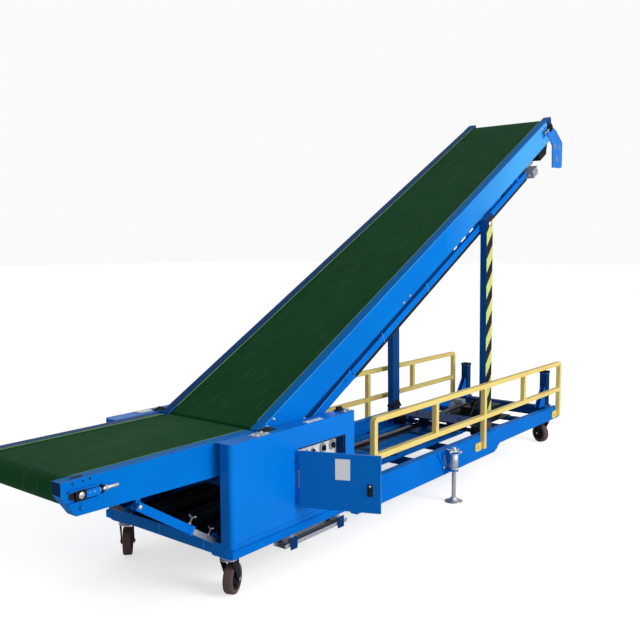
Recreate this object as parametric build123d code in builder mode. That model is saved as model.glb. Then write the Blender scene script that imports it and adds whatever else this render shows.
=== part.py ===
from build123d import *
import math
import os

# A mobile inclined belt conveyor on casters.
# A level infeed belt joins a long inclined belt between two side housings.
# Two legs on a sliding foot carriage hold the incline up, and fold when it is lowered.
# Lengths are in millimetres.  +X runs from the infeed to the head, +Z is up.
os.makedirs("parts", exist_ok=True)

# Driving sizes of the chassis
chassis_length = 3830
chassis_half_width = 478
member_width = 48
member_wall = 6
front_rail_low = 221
front_rail_top = 261
member_low = 171
member_top = 338
rear_low = 221
rear_top = 315
deep_member_end = 2631
member_taper = 115
cross_width = 50
cross_depth = 47
rear_cross_depth = 33
rear_beam_width = 60
rear_beam_depth = 79
front_angle_top = 251
front_angle_wall = 6
front_angle_width = 36

# Driving sizes of the belts and their beds
bed_half_width = 366
bed_wall = 4
bed_sheet = 3
bed_tube = 34
bed_tube_lift = 2
flange_width = 60
belt_width = 600
belt_thickness = 5
belt_drop = 5
belt_bed_gap = 0.3
knee_x = 321
knee_height = 710
plate_above_knee = 50
incline_angle = 29.03
lowered_angle = 0.5
incline_depth = 165
incline_length = 4005
incline_start = 5
end_cut = 74
infeed_front = -804
infeed_tip_x = -739
infeed_depth = 172
infeed_tip_share = 0.855
infeed_chin_share = 0.314
nose_roller_radius = 15
nose_roller_reach = 32
tail_roller_x = -722
tail_belt_radius = 58
head_belt_radius = 62
head_inset = 65
roller_shaft = 10
bar_side_count = 6
shaft_radius = 12
shaft_clearance = 0.05
roller_end_play = 5

# Driving sizes of the housings and the door
housing_length = 969
housing_inset = 6
housing_wall = 3
housing_flange = 70
housing_corner = 28
top_ledge_inner = 378
door_width = 414
door_height_share = 0.575
door_low_share = 0.19
door_thickness = 18
door_open_angle = 66.2
door_hinge_x = 458
door_hinge_reach = 14
door_leaf_start = 6

# Driving sizes of the legs, the foot carriage and the cylinders
leg_width = 50
leg_depth = 90
leg_gap = 5
leg_top_along = 2560
leg_top_below = 50
foot_axle_x = 2662
foot_axle_height = 300
foot_axle_radius = 15
foot_roller_radius = 38
barrel_offset = 120
barrel_radius = 35
rod_radius = 18

# Driving sizes of what the machine stands on
wheel_radius = 75
wheel_width = 50
caster_trail = 45
caster_inset = 62
caster_offset = 386
jack_x = 1952
jack_offset = 538
jack_foot_radius = 58

# Driving sizes of the guard rails and the rest posts
rail_tube = 32
rail_corner = 34
rail_top = 700
rail_mid = 469
rail_foot = 244
rail_front = 1107
rail_rear_inset = 49
post_size = 60
post_offset = 368
post_top = 592
pad_thickness = 15

overrun = 10
seat_gap = 0.3
sides = (("right", -1), ("left", 1))

# Places that follow from the driving sizes
incline_cos = math.cos(math.radians(incline_angle))
incline_sin = math.sin(math.radians(incline_angle))
housing_half_width = chassis_half_width - housing_inset
housing_top = knee_height + plate_above_knee
door_height = door_height_share * (housing_top - front_rail_top)
door_low = front_rail_top + door_low_share * (housing_top - front_rail_top)
taper_end = deep_member_end + member_taper
rail_rear = chassis_length - rail_rear_inset
member_inner = chassis_half_width - member_width
cross_half_width = chassis_half_width - member_wall - seat_gap
deep_cross_low = member_low + member_wall + seat_gap
deep_cross_top = deep_cross_low + cross_depth
rear_cross_low = rear_low + member_wall + seat_gap
rear_beam_front = chassis_length - member_wall - seat_gap - rear_beam_width

# Outline of the coupling plates: each corner from the top corner of the incline's end
incline_end_x = knee_x + incline_length * incline_cos - plate_above_knee * incline_sin
incline_end_height = knee_height + incline_length * incline_sin + plate_above_knee * incline_cos
coupling_corners = (
    # beyond the end, below the end
    (-80, 137),
    (0, 72),
    (100, 97),
    (241, 184),
    (241, 379),
    (222, 397),
    (44, 405),
    (36, 227),
)
coupling_outline = [(incline_end_x + beyond, incline_end_height - below) for beyond, below in coupling_corners]
coupling_reach = max(place for place, height in coupling_outline)

# The row's origin lies under the middle of the whole machine
jack_reach = jack_offset + jack_foot_radius
door_hinge_offset = housing_half_width + door_hinge_reach
door_swing = door_hinge_offset + (door_leaf_start + door_width) * math.sin(math.radians(door_open_angle))
door_reach = door_swing + door_thickness / 2 * math.cos(math.radians(door_open_angle))
middle_x = (coupling_reach + infeed_front) / 2
middle_y = (jack_reach - door_reach) / 2


def side_view(y):
    """A plane seen from the right side; its normal points to -Y."""
    return Plane(origin=(-middle_x, y - middle_y, 0), x_dir=(1, 0, 0), z_dir=(0, -1, 0))


def top_view(z):
    """A level plane at height z; its normal points up."""
    return Plane(origin=(-middle_x, -middle_y, z), x_dir=(1, 0, 0), z_dir=(0, 0, 1))


def end_view(x):
    """A plane across the machine at x; its normal points to +X."""
    return Plane(origin=(x - middle_x, -middle_y, 0), x_dir=(0, 1, 0), z_dir=(1, 0, 0))


def incline_view(y):
    """The side view tilted along the incline, with its origin on the knee axis."""
    return Plane(
        origin=(knee_x - middle_x, y - middle_y, knee_height),
        x_dir=(incline_cos, 0, incline_sin),
        z_dir=(0, -1, 0),
    )


def knee_view(y):
    """The level side view with its origin on the knee axis."""
    return Plane(origin=(knee_x - middle_x, y - middle_y, knee_height), x_dir=(1, 0, 0), z_dir=(0, -1, 0))


mid_plane = Plane(origin=(0, -middle_y, 0), x_dir=(1, 0, 0), z_dir=(0, 1, 0))

# Long side members: a shallow rail under the housing, a deep channel, a tapered tail
member_outline = [
    (0, front_rail_low),
    (housing_length, front_rail_low),
    (housing_length, member_low),
    (deep_member_end, member_low),
    (taper_end, rear_low),
    (chassis_length, rear_low),
    (chassis_length, rear_top),
    (deep_member_end, member_top),
    (housing_length, member_top),
    (housing_length, front_rail_top),
    (0, front_rail_top),
]
for side_name, side in sides:
    with BuildPart() as side_member:
        with BuildSketch(side_view(side * chassis_half_width)):
            Polygon(*member_outline, align=None)
        extrude(amount=side * member_width)
        with BuildSketch(side_view(side * (chassis_half_width - member_wall))):
            Polygon(*member_outline, align=None)
            offset(amount=-member_wall, kind=Kind.INTERSECTION)
        extrude(amount=side * member_width, mode=Mode.SUBTRACT)
    side_member.part.label = "side_member_" + side_name
    export_step(side_member.part, "parts/side_member_" + side_name + ".step")

# Cross members: four deep ones, two shallow ones, the rear beam and the front angle with its strut lugs
deep_cross_count = 4
rear_cross_count = 2
cross_margin = 31
last_deep_margin = 231
deep_cross_first = housing_length + cross_margin
deep_cross_step = (deep_member_end - last_deep_margin - deep_cross_first) / (deep_cross_count - 1)
rear_cross_step = (rear_beam_front - taper_end) / (rear_cross_count + 1)
angle_front = member_wall + seat_gap
angle_low = front_rail_low + member_wall + seat_gap
cross_table = [(deep_cross_first + i * deep_cross_step, deep_cross_low, cross_width, cross_depth)
               for i in range(deep_cross_count)]
cross_table += [(taper_end + (i + 1) * rear_cross_step, rear_cross_low, cross_width, rear_cross_depth)
                for i in range(rear_cross_count)]
cross_table.append((rear_beam_front, rear_cross_low, rear_beam_width, rear_beam_depth))
strut_bottom = (34, 266)
strut_offset = 340
strut_tongue = 10
strut_lug_width = 34
strut_lug_crown = 14
lug_thickness = 6
lug_play = 12
lug_inner = strut_offset + strut_tongue / 2 + lug_play
lug_top = strut_bottom[1] + strut_lug_crown
with BuildPart() as cross_members:
    for front_face, low_edge, width, depth in cross_table:
        with BuildSketch(top_view(low_edge)):
            with Locations((front_face + width / 2, 0)):
                Rectangle(width, 2 * cross_half_width)
        extrude(amount=depth)
    with BuildSketch(side_view(0)):
        with BuildLine():
            Polyline(
                (angle_front, angle_low),
                (angle_front + front_angle_width, angle_low),
                (angle_front + front_angle_width, angle_low + front_angle_wall),
                (angle_front + front_angle_wall, angle_low + front_angle_wall),
                (angle_front + front_angle_wall, front_angle_top),
                (angle_front, front_angle_top),
                close=True,
            )
        make_face()
    extrude(amount=cross_half_width, both=True)
    for side_name, side in sides:
        with BuildSketch(side_view(side * lug_inner)):
            with Locations((strut_bottom[0], (angle_low + lug_top) / 2)):
                Rectangle(strut_lug_width, lug_top - angle_low)
        extrude(amount=-side * lug_thickness)
cross_members.part.label = "cross_members"
export_step(cross_members.part, "parts/cross_members.step")

# Tracks that the foot rollers run on
track_low = deep_cross_top + seat_gap
track_top = foot_axle_height - foot_roller_radius - seat_gap
track_offset = 318
track_width = 60
track_beyond = 120
track_end = foot_axle_x + track_beyond
track_length = track_end - deep_cross_first
with BuildPart() as leg_tracks:
    with BuildSketch(top_view(track_low)):
        with Locations((track_end - track_length / 2, track_offset), (track_end - track_length / 2, -track_offset)):
            Rectangle(track_length, track_width)
    extrude(amount=track_top - track_low)
leg_tracks.part.label = "leg_tracks"
export_step(leg_tracks.part, "parts/leg_tracks.step")

# Posts that the lowered incline rests on, with their gussets and pads
post_foot = rear_cross_low + rear_beam_depth + seat_gap
post_middle = rear_beam_front + rear_beam_width / 2
gusset_reach = 62
gusset_height = 150
gusset_thickness = 8
with BuildPart() as rest_posts:
    with BuildSketch(top_view(post_foot)):
        with Locations((post_middle, -post_offset)):
            Rectangle(post_size, post_size)
    extrude(amount=post_top - post_foot)
    with BuildSketch(side_view(-post_offset)):
        with BuildLine():
            Polyline(
                (post_middle, post_foot),
                (post_middle, post_foot + gusset_height),
                (post_middle - post_size / 2, post_foot + gusset_height),
                (post_middle - post_size / 2 - gusset_reach, post_foot),
                close=True,
            )
        make_face()
    extrude(amount=gusset_thickness / 2, both=True)
    mirror(about=mid_plane)
rest_posts.part.label = "rest_posts"
export_step(rest_posts.part, "parts/rest_posts.step")

pad_margin = 3
with BuildPart() as rest_pads:
    with BuildSketch(top_view(post_top)):
        with Locations((post_middle, -post_offset)):
            Rectangle(post_size + 2 * pad_margin, post_size + 2 * pad_margin)
    extrude(amount=pad_thickness)
    mirror(about=mid_plane)
rest_pads.part.label = "rest_pads"
export_step(rest_pads.part, "parts/rest_pads.step")

# Guard rails with rounded ends, posts and short balusters
post_share = 0.5
baluster_shares = (0.254, 0.742)
rail_length = rail_rear - rail_front
middle_post = rail_front + post_share * rail_length
baluster_places = [rail_front + place_share * rail_length for place_share in baluster_shares]
post_height = rail_top - rail_tube / 2 - rail_foot
baluster_height = rail_top - rail_tube / 2 - rail_mid
for side_name, side in sides:
    with BuildPart() as guard_rail:
        with BuildSketch(side_view(side * (chassis_half_width + seat_gap))):
            with BuildLine():
                FilletPolyline(
                    (rail_front - rail_tube / 2, rail_foot),
                    (rail_front - rail_tube / 2, rail_top),
                    (rail_rear + rail_tube / 2, rail_top),
                    (rail_rear + rail_tube / 2, rail_foot),
                    radius=rail_corner,
                )
                Polyline(
                    (rail_rear + rail_tube / 2, rail_foot),
                    (rail_rear - rail_tube / 2, rail_foot),
                    (rail_rear - rail_tube / 2, rail_top - rail_tube),
                    (rail_front + rail_tube / 2, rail_top - rail_tube),
                    (rail_front + rail_tube / 2, rail_foot),
                    (rail_front - rail_tube / 2, rail_foot),
                )
            make_face()
            with Locations(((rail_front + rail_rear) / 2, rail_mid)):
                Rectangle(rail_length, rail_tube)
            with Locations((middle_post, rail_foot + post_height / 2)):
                Rectangle(rail_tube, post_height)
            for place in baluster_places:
                with Locations((place, rail_mid + baluster_height / 2)):
                    Rectangle(rail_tube, baluster_height)
        extrude(amount=-side * rail_tube)
    guard_rail.part.label = "guard_rail_" + side_name
    export_step(guard_rail.part, "parts/guard_rail_" + side_name + ".step")

# Side housings: a sheet wall with return flanges, rounded front corner and top ledge
door_margin = 4
door_front_margin = 8
opening_corner = 6
opening_low = door_low - door_margin
opening_high = door_low + door_height + door_margin
opening_front = door_hinge_x + door_leaf_start + door_front_margin
opening_rear = door_hinge_x + door_leaf_start + door_width - door_front_margin
opening_middle = ((opening_front + opening_rear) / 2, (opening_low + opening_high) / 2)
opening_length = opening_rear - opening_front
opening_height = opening_high - opening_low
flange_inner = housing_half_width - housing_flange
for side_name, side in sides:
    with BuildPart() as housing:
        with BuildSketch(top_view(front_rail_top)) as housing_plan:
            with Locations((housing_length / 2, side * (housing_half_width - housing_flange / 2))):
                Rectangle(housing_length, housing_flange)
            corners = housing_plan.vertices().sort_by(Axis.Y)
            outer_corners = corners[-2:] if side > 0 else corners[:2]
            fillet(outer_corners, radius=housing_corner)
        extrude(amount=housing_top - front_rail_top)
        with BuildSketch(top_view(front_rail_top)) as hollow_plan:
            with Locations((housing_length / 2, side * (housing_half_width - housing_flange / 2))):
                Rectangle(housing_length - 2 * housing_wall, housing_flange - 2 * housing_wall)
            corners = hollow_plan.vertices().sort_by(Axis.Y)
            outer_corners = corners[-2:] if side > 0 else corners[:2]
            fillet(outer_corners, radius=housing_corner - housing_wall)
            with Locations((housing_length / 2, side * (flange_inner + housing_flange / 4 - overrun))):
                Rectangle(housing_length - 2 * housing_wall, housing_flange / 2 + 2 * overrun)
        extrude(amount=housing_top - housing_wall - front_rail_top, mode=Mode.SUBTRACT)
        with BuildSketch(top_view(housing_top - housing_wall)):
            with Locations((housing_length / 2, side * (flange_inner + top_ledge_inner) / 2)):
                Rectangle(housing_length, flange_inner - top_ledge_inner)
        extrude(amount=housing_wall)
        if side < 0:
            with BuildSketch(side_view(side * (housing_half_width + overrun))):
                with Locations(opening_middle):
                    RectangleRounded(opening_length, opening_height, opening_corner)
            extrude(amount=side * (housing_wall + 2 * overrun), mode=Mode.SUBTRACT)
    housing.part.label = "housing_" + side_name
    export_step(housing.part, "parts/housing_" + side_name + ".step")

# Control box behind the door opening, open at its front
panel_setback = 60
panel_depth = 32
panel_rim = 10
panel_offset = housing_half_width - panel_setback
rim_face = housing_half_width - housing_wall - seat_gap
with BuildPart() as control_panel:
    with BuildSketch(side_view(-rim_face)):
        with Locations(opening_middle):
            Rectangle(opening_length + 2 * panel_rim, opening_height + 2 * panel_rim)
    extrude(amount=panel_offset - panel_depth - rim_face)
    with BuildSketch(side_view(-rim_face)):
        with Locations(opening_middle):
            Rectangle(opening_length, opening_height)
    extrude(amount=panel_offset - rim_face, mode=Mode.SUBTRACT)
control_panel.part.label = "control_panel"
export_step(control_panel.part, "parts/control_panel.step")

# Control door, standing open at its hinge
knuckle_radius = 6
knuckle_length = 30
knuckle_gap = 1
knuckle_inset = 50
knuckle_places = (door_low + knuckle_inset, door_low + door_height - knuckle_inset)
door_turn = math.radians(-door_open_angle)
door_plane = Plane(
    origin=(door_hinge_x - middle_x, -door_hinge_offset - middle_y, 0),
    x_dir=(math.cos(door_turn), math.sin(door_turn), 0),
    z_dir=(0, 0, 1),
)
with BuildPart() as control_door:
    with BuildSketch(door_plane.offset(door_low)):
        with Locations((door_leaf_start + door_width / 2, 0)):
            Rectangle(door_width, door_thickness)
    extrude(amount=door_height)
    for place in knuckle_places:
        with BuildSketch(door_plane.offset(place - knuckle_length / 2)):
            Circle(knuckle_radius)
            with Locations((door_leaf_start / 2, 0)):
                Rectangle(2 * door_leaf_start, knuckle_radius)
        extrude(amount=knuckle_length)
control_door.part.label = "control_door"
export_step(control_door.part, "parts/control_door.step")

# Hinge knuckles on the housing, above and below those of the door
knuckle_tab = 8
tab_length = door_hinge_offset - housing_half_width - seat_gap
with BuildPart() as door_hinges:
    for place in knuckle_places:
        for end in (-1, 1):
            with BuildSketch(top_view(place + end * (knuckle_length + knuckle_gap) - knuckle_length / 2)):
                with Locations((door_hinge_x, -door_hinge_offset)):
                    Circle(knuckle_radius)
                with Locations((door_hinge_x - knuckle_radius / 2, -door_hinge_offset + tab_length / 2)):
                    Rectangle(knuckle_tab, tab_length)
            extrude(amount=knuckle_length)
door_hinges.part.label = "door_hinges"
export_step(door_hinges.part, "parts/door_hinges.step")

# Folded step tray under the right housing, on two short feet
tray_front_share = 0.356
tray_rear_gap = 119
tray_low = 172
tray_width = 80
tray_depth = 20
tray_wall = 3
tray_setback = 22
tray_foot = 40
tray_foot_inset = 60
tray_front = tray_front_share * housing_length
tray_rear = housing_length - tray_rear_gap
tray_offset = chassis_half_width - tray_setback
with BuildPart() as step_tray:
    with BuildSketch(end_view(tray_front)):
        with Locations((-tray_offset, tray_low + tray_depth / 2)):
            Rectangle(tray_width, tray_depth)
        with Locations((-tray_offset, tray_low + tray_wall + tray_depth / 2)):
            Rectangle(tray_width - 2 * tray_wall, tray_depth, mode=Mode.SUBTRACT)
    extrude(amount=tray_rear - tray_front)
    for place in (tray_front + tray_foot_inset, tray_rear - tray_foot_inset):
        with BuildSketch(top_view(tray_low + tray_wall)):
            with Locations((place, -tray_offset)):
                Rectangle(tray_foot, tray_foot)
        extrude(amount=front_rail_low - tray_low - tray_wall)
step_tray.part.label = "step_tray"
export_step(step_tray.part, "parts/step_tray.step")

# Knee bearings on posts inside the housings
bearing_inner = top_ledge_inner
bearing_outer = member_inner
bearing_length = 80
bearing_crown = 35
foot_plate = 6
bearing_low = front_rail_top + seat_gap
bearing_plate_outer = housing_half_width - housing_wall - seat_gap
with BuildPart() as knee_bearings:
    with BuildSketch(top_view(bearing_low)):
        with Locations((knee_x, -(bearing_inner + bearing_outer) / 2)):
            Rectangle(bearing_length, bearing_outer - bearing_inner)
    extrude(amount=knee_height + bearing_crown - bearing_low)
    with BuildSketch(top_view(bearing_low)):
        with Locations((knee_x, -(bearing_inner + bearing_plate_outer) / 2)):
            Rectangle(bearing_length, bearing_plate_outer - bearing_inner)
    extrude(amount=foot_plate)
    with BuildSketch(side_view(-bearing_inner + overrun)):
        with Locations((knee_x, knee_height)):
            Circle(shaft_radius + shaft_clearance)
    extrude(amount=bearing_outer - bearing_inner + 2 * overrun, mode=Mode.SUBTRACT)
    mirror(about=mid_plane)
knee_bearings.part.label = "knee_bearings"
export_step(knee_bearings.part, "parts/knee_bearings.step")

# Travel of the foot carriage while the incline goes down to its lowered angle
leg_top_drop = plate_above_knee - incline_depth - leg_top_below
leg_top_x = knee_x + leg_top_along * incline_cos - leg_top_drop * incline_sin
leg_top_z = knee_height + leg_top_along * incline_sin + leg_top_drop * incline_cos
leg_run = (leg_top_x - foot_axle_x, leg_top_z - foot_axle_height)
leg_length = math.hypot(*leg_run)
lowered_cos = math.cos(math.radians(lowered_angle))
lowered_sin = math.sin(math.radians(lowered_angle))
lowered_top_x = knee_x + leg_top_along * lowered_cos - leg_top_drop * lowered_sin
lowered_top_z = knee_height + leg_top_along * lowered_sin + leg_top_drop * lowered_cos
lowered_run = math.sqrt(leg_length ** 2 - (lowered_top_z - foot_axle_height) ** 2)
carriage_travel = foot_axle_x - lowered_top_x + lowered_run

# Cylinder barrels that push the foot carriage, on saddles over the cross members
barrel_start = 15
barrel_clearance = 15
rod_gap = 2
rod_side_count = 20
rod_reserve = 5
rod_lug_radius = 34
saddle_length = 40
saddle_margin = 6
barrel_end = foot_axle_x - carriage_travel - rod_lug_radius - barrel_clearance
saddle_table = (
    # front face, foot height
    (angle_front + front_angle_wall + seat_gap, angle_low + front_angle_wall + seat_gap),
    (deep_cross_first + (cross_width - saddle_length) / 2, deep_cross_top + seat_gap),
)
with BuildPart() as cylinder_barrels:
    with BuildSketch(end_view(barrel_start)):
        with Locations((-barrel_offset, foot_axle_height), (barrel_offset, foot_axle_height)):
            Circle(barrel_radius)
    extrude(amount=barrel_end - barrel_start)
    for front_face, foot_height in saddle_table:
        with BuildSketch(end_view(front_face)):
            for spot in (-barrel_offset, barrel_offset):
                with Locations((spot, (foot_height + foot_axle_height) / 2)):
                    Rectangle(2 * (barrel_radius + saddle_margin), foot_axle_height - foot_height)
        extrude(amount=saddle_length)
    with BuildSketch(end_view(barrel_start - overrun)):
        with Locations((-barrel_offset, foot_axle_height), (barrel_offset, foot_axle_height)):
            RegularPolygon(rod_radius + rod_gap, rod_side_count)
    extrude(amount=barrel_end - barrel_start + 2 * overrun, mode=Mode.SUBTRACT)
cylinder_barrels.part.label = "cylinder_barrels"
export_step(cylinder_barrels.part, "parts/cylinder_barrels.step")

# Power unit on the chassis behind the legs: tray, tank and motor
tray_plate = 4
power_room_start = foot_axle_x + track_beyond + 2 * overrun
power_room = rear_beam_front - power_room_start
power_tray_share = 0.55
power_middle_share = 0.44
power_tray_width = 420
tank_share = 0.32
tank_width = 200
tank_height = 105
tank_offset = 70
pump_radius = 52
pump_length = 120
pump_foot = 40
power_tray_low = rear_cross_low + rear_cross_depth + seat_gap
power_tray_top = power_tray_low + tray_plate
power_middle = power_room_start + power_middle_share * power_room
with BuildPart() as power_unit:
    with BuildSketch(top_view(power_tray_low)):
        with Locations((power_middle, 0)):
            Rectangle(power_tray_share * power_room, power_tray_width)
    extrude(amount=tray_plate)
    with BuildSketch(top_view(power_tray_top)):
        with Locations((power_middle, -tank_offset)):
            Rectangle(tank_share * power_room, tank_width)
    extrude(amount=tank_height)
    with BuildSketch(side_view(tank_offset)):
        with Locations((power_middle, power_tray_top + pump_radius)):
            Circle(pump_radius)
        with Locations((power_middle, power_tray_top + pump_radius / 2)):
            Rectangle(2 * pump_foot, pump_radius)
    extrude(amount=-pump_length)
power_unit.part.label = "power_unit"
export_step(power_unit.part, "parts/power_unit.step")

# Heights and places of the belts, measured from the knee axis
plate_top = plate_above_knee
plate_low = plate_top - incline_depth
belt_top = plate_top - belt_drop
bed_top = belt_top - belt_thickness - belt_bed_gap
nose_belt_radius = nose_roller_radius + belt_thickness
nose_height = belt_top - nose_belt_radius
tail_along = tail_roller_x - knee_x
tail_height = belt_top - tail_belt_radius
head_along = incline_length - head_inset
head_height = belt_top - head_belt_radius
pivot_boss = 25
bed_end_gap = 40
bed_reach = bed_half_width - bed_wall / 2

# Incline frame: two side walls with folded flanges, the bed sheet and cross tubes
incline_outline = [
    (incline_start, plate_top),
    (incline_length, plate_top),
    (incline_length - end_cut, plate_low),
    (incline_start, plate_low),
]
tube_shares = (0.075, 0.25, 0.425, 0.64, 0.82)
motor_share = 0.915
motor_box = 130
motor_plate = 6
motor_plate_margin = 20
leg_lug = 30
leg_lug_rise = 40
head_wrap = head_along - head_belt_radius
nose_wrap = nose_roller_reach + nose_belt_radius
bed_length = head_wrap - nose_wrap
motor_along = motor_share * incline_length
with BuildPart() as incline_frame:
    with BuildSketch(incline_view(-bed_half_width)):
        Polygon(*incline_outline, align=None)
    extrude(amount=-flange_width)
    with BuildSketch(incline_view(-bed_half_width + bed_wall)):
        Polygon(*incline_outline, align=None)
        offset(amount=-bed_wall, kind=Kind.INTERSECTION)
    extrude(amount=-flange_width, mode=Mode.SUBTRACT)
    with BuildSketch(incline_view(-bed_half_width)):
        Circle(pivot_boss)
    extrude(amount=-bed_wall)
    with BuildSketch(incline_view(-bed_half_width + bed_wall)):
        Circle(shaft_radius)
    extrude(amount=bearing_outer - bed_half_width + bed_wall)
    with BuildSketch(incline_view(-bed_half_width)):
        with Locations((leg_top_along, (leg_top_drop + plate_low + leg_lug_rise - leg_lug) / 2)):
            Rectangle(2 * leg_lug, plate_low + leg_lug_rise - leg_top_drop + leg_lug)
    extrude(amount=-bed_wall)
    mirror(about=mid_plane)
    with BuildSketch(incline_view(0)):
        with Locations((nose_wrap + bed_length / 2, bed_top - bed_sheet / 2)):
            Rectangle(bed_length - 2 * bed_end_gap, bed_sheet)
    extrude(amount=bed_reach, both=True)
    for tube_share in tube_shares:
        with BuildSketch(incline_view(0)):
            with Locations((tube_share * incline_length, plate_low + bed_tube_lift + bed_tube / 2)):
                Rectangle(bed_tube, bed_tube)
        extrude(amount=bed_reach, both=True)
    with BuildSketch(incline_view(0)):
        with Locations((motor_along, plate_low + motor_plate / 2)):
            Rectangle(motor_box + 2 * motor_plate_margin, motor_plate)
    extrude(amount=bed_reach, both=True)
    for place, height in ((head_along, head_height), (nose_roller_reach, nose_height)):
        with BuildSketch(incline_view(0)):
            with Locations((place, height)):
                RegularPolygon(roller_shaft + shaft_clearance, bar_side_count)
        extrude(amount=bed_half_width + overrun, both=True, mode=Mode.SUBTRACT)
incline_frame.part.label = "incline_frame"
export_step(incline_frame.part, "parts/incline_frame.step")

with BuildPart() as incline_belt:
    with BuildSketch(incline_view(0)):
        with Locations((head_along, head_height)):
            Circle(head_belt_radius)
        with Locations((nose_roller_reach, nose_height)):
            Circle(nose_belt_radius)
        make_hull()
        offset(amount=-belt_thickness, mode=Mode.SUBTRACT)
    extrude(amount=belt_width / 2, both=True)
incline_belt.part.label = "incline_belt"
export_step(incline_belt.part, "parts/incline_belt.step")

incline_roller_table = (
    # place, height, radius
    (head_along, head_height, head_belt_radius - belt_thickness - seat_gap),
    (nose_roller_reach, nose_height, nose_roller_radius - seat_gap),
)
with BuildPart() as incline_rollers:
    for place, height, radius in incline_roller_table:
        with BuildSketch(incline_view(0)):
            with Locations((place, height)):
                Circle(radius)
        extrude(amount=belt_width / 2 + roller_end_play, both=True)
        with BuildSketch(incline_view(0)):
            with Locations((place, height)):
                RegularPolygon(roller_shaft, bar_side_count)
        extrude(amount=bed_half_width, both=True)
incline_rollers.part.label = "incline_rollers"
export_step(incline_rollers.part, "parts/incline_rollers.step")

# Under rails below the incline's side walls, hung from them by a set-back web
under_rail_radius = 22
under_rail_drop = 65
under_rail_height = plate_low - under_rail_drop
under_rail_offset = bed_half_width - bed_wall - under_rail_radius - seat_gap
under_rail_start = 520
under_rail_end_share = 0.809
under_rail_end = under_rail_end_share * incline_length
web_thickness = 6
web_top = plate_low - seat_gap
web_shares = (
    # start, end of each stretch between the rail's start and its end
    (0.01, 0.59),
    (0.62, 0.64),
    (0.67, 0.69),
    (0.715, 0.985),
)
with BuildPart() as under_rails:
    with BuildLine(incline_view(-under_rail_offset)) as rail_path:
        Polyline(
            (under_rail_start, under_rail_height),
            (under_rail_end, under_rail_height),
            (under_rail_end, web_top),
        )
    with BuildSketch(Plane(origin=rail_path.line @ 0, z_dir=rail_path.line % 0)):
        Circle(under_rail_radius)
    sweep(transition=Transition.RIGHT)
    for start_share, end_share in web_shares:
        start = under_rail_start + start_share * (under_rail_end - under_rail_start)
        end = under_rail_start + end_share * (under_rail_end - under_rail_start)
        with BuildSketch(incline_view(-under_rail_offset)):
            with Locations(((start + end) / 2, (under_rail_height + web_top) / 2)):
                Rectangle(end - start, web_top - under_rail_height)
        extrude(amount=web_thickness / 2, both=True)
    mirror(about=mid_plane)
under_rails.part.label = "under_rails"
export_step(under_rails.part, "parts/under_rails.step")

# Gear motor under the head, bolted to its cross plate
gear_box_depth = 110
gear_box_offset = 270
gear_box_width = 140
motor_radius = 58
motor_drop = 22
motor_length = 220
gear_box_inner = gear_box_offset - gear_box_width
with BuildPart() as drive_motor:
    with BuildSketch(incline_view(-gear_box_offset)):
        with Locations((motor_along, plate_low - seat_gap - gear_box_depth / 2)):
            Rectangle(motor_box, gear_box_depth)
    extrude(amount=-gear_box_width)
    with BuildSketch(incline_view(-gear_box_inner - overrun)):
        with Locations((motor_along, plate_low - motor_drop - motor_radius)):
            Circle(motor_radius)
    extrude(amount=-motor_length)
drive_motor.part.label = "drive_motor"
export_step(drive_motor.part, "parts/drive_motor.step")

# Coupling plates that hang at the head, with three bolt holes each
coupling_hole_radius = 9
coupling_thickness = 8
coupling_hole_table = (
    # beyond the incline's end, below it
    (90, 230),
    (180, 230),
    (135, 330),
)
coupling_holes = [(incline_end_x + beyond, incline_end_height - below) for beyond, below in coupling_hole_table]
with BuildPart() as coupling_plates:
    with BuildSketch(side_view(-bed_half_width - seat_gap)):
        Polygon(*coupling_outline, align=None)
        with Locations(*coupling_holes):
            Circle(coupling_hole_radius, mode=Mode.SUBTRACT)
    extrude(amount=coupling_thickness)
    mirror(about=mid_plane)
coupling_plates.part.label = "coupling_plates"
export_step(coupling_plates.part, "parts/coupling_plates.step")

# Infeed frame with its tongues on the knee axis and its strut lugs
strut_top_x = -424
strut_top_below = 41
strut_pin = 6
strut_eye = 13
tongue_gap = 2
tongue_thickness = 6
tongue_root = (-130, 10)
tongue_spacer = 36
tongue_half_height = 26
infeed_back = 54
infeed_heel = 40
infeed_lug_overlap = 3
infeed_tube_shares = (0.52, 0.2)
infeed_floor = plate_top - infeed_depth
infeed_tip = plate_top - infeed_tip_share * infeed_depth
infeed_chin = plate_top - infeed_chin_share * infeed_depth
infeed_outline = [
    (infeed_front - knee_x, plate_top),
    (-infeed_back, plate_top),
    (-infeed_heel, 0),
    (-infeed_heel, infeed_floor),
    (infeed_tip_x - knee_x, infeed_tip),
    (infeed_front - knee_x, infeed_chin),
]
tail_wrap = tail_along + tail_belt_radius
infeed_bed_length = -nose_wrap - tail_wrap
floor_slope = (infeed_tip - infeed_floor) / (infeed_tip_x - knee_x + infeed_heel)
lug_floor = infeed_floor + floor_slope * (strut_top_x - knee_x + infeed_heel)
top_lug = (strut_top_x - knee_x, lug_floor - strut_top_below)
strut_top = (strut_top_x, knee_height + top_lug[1])
lug_run = strut_top_below + infeed_lug_overlap
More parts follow.
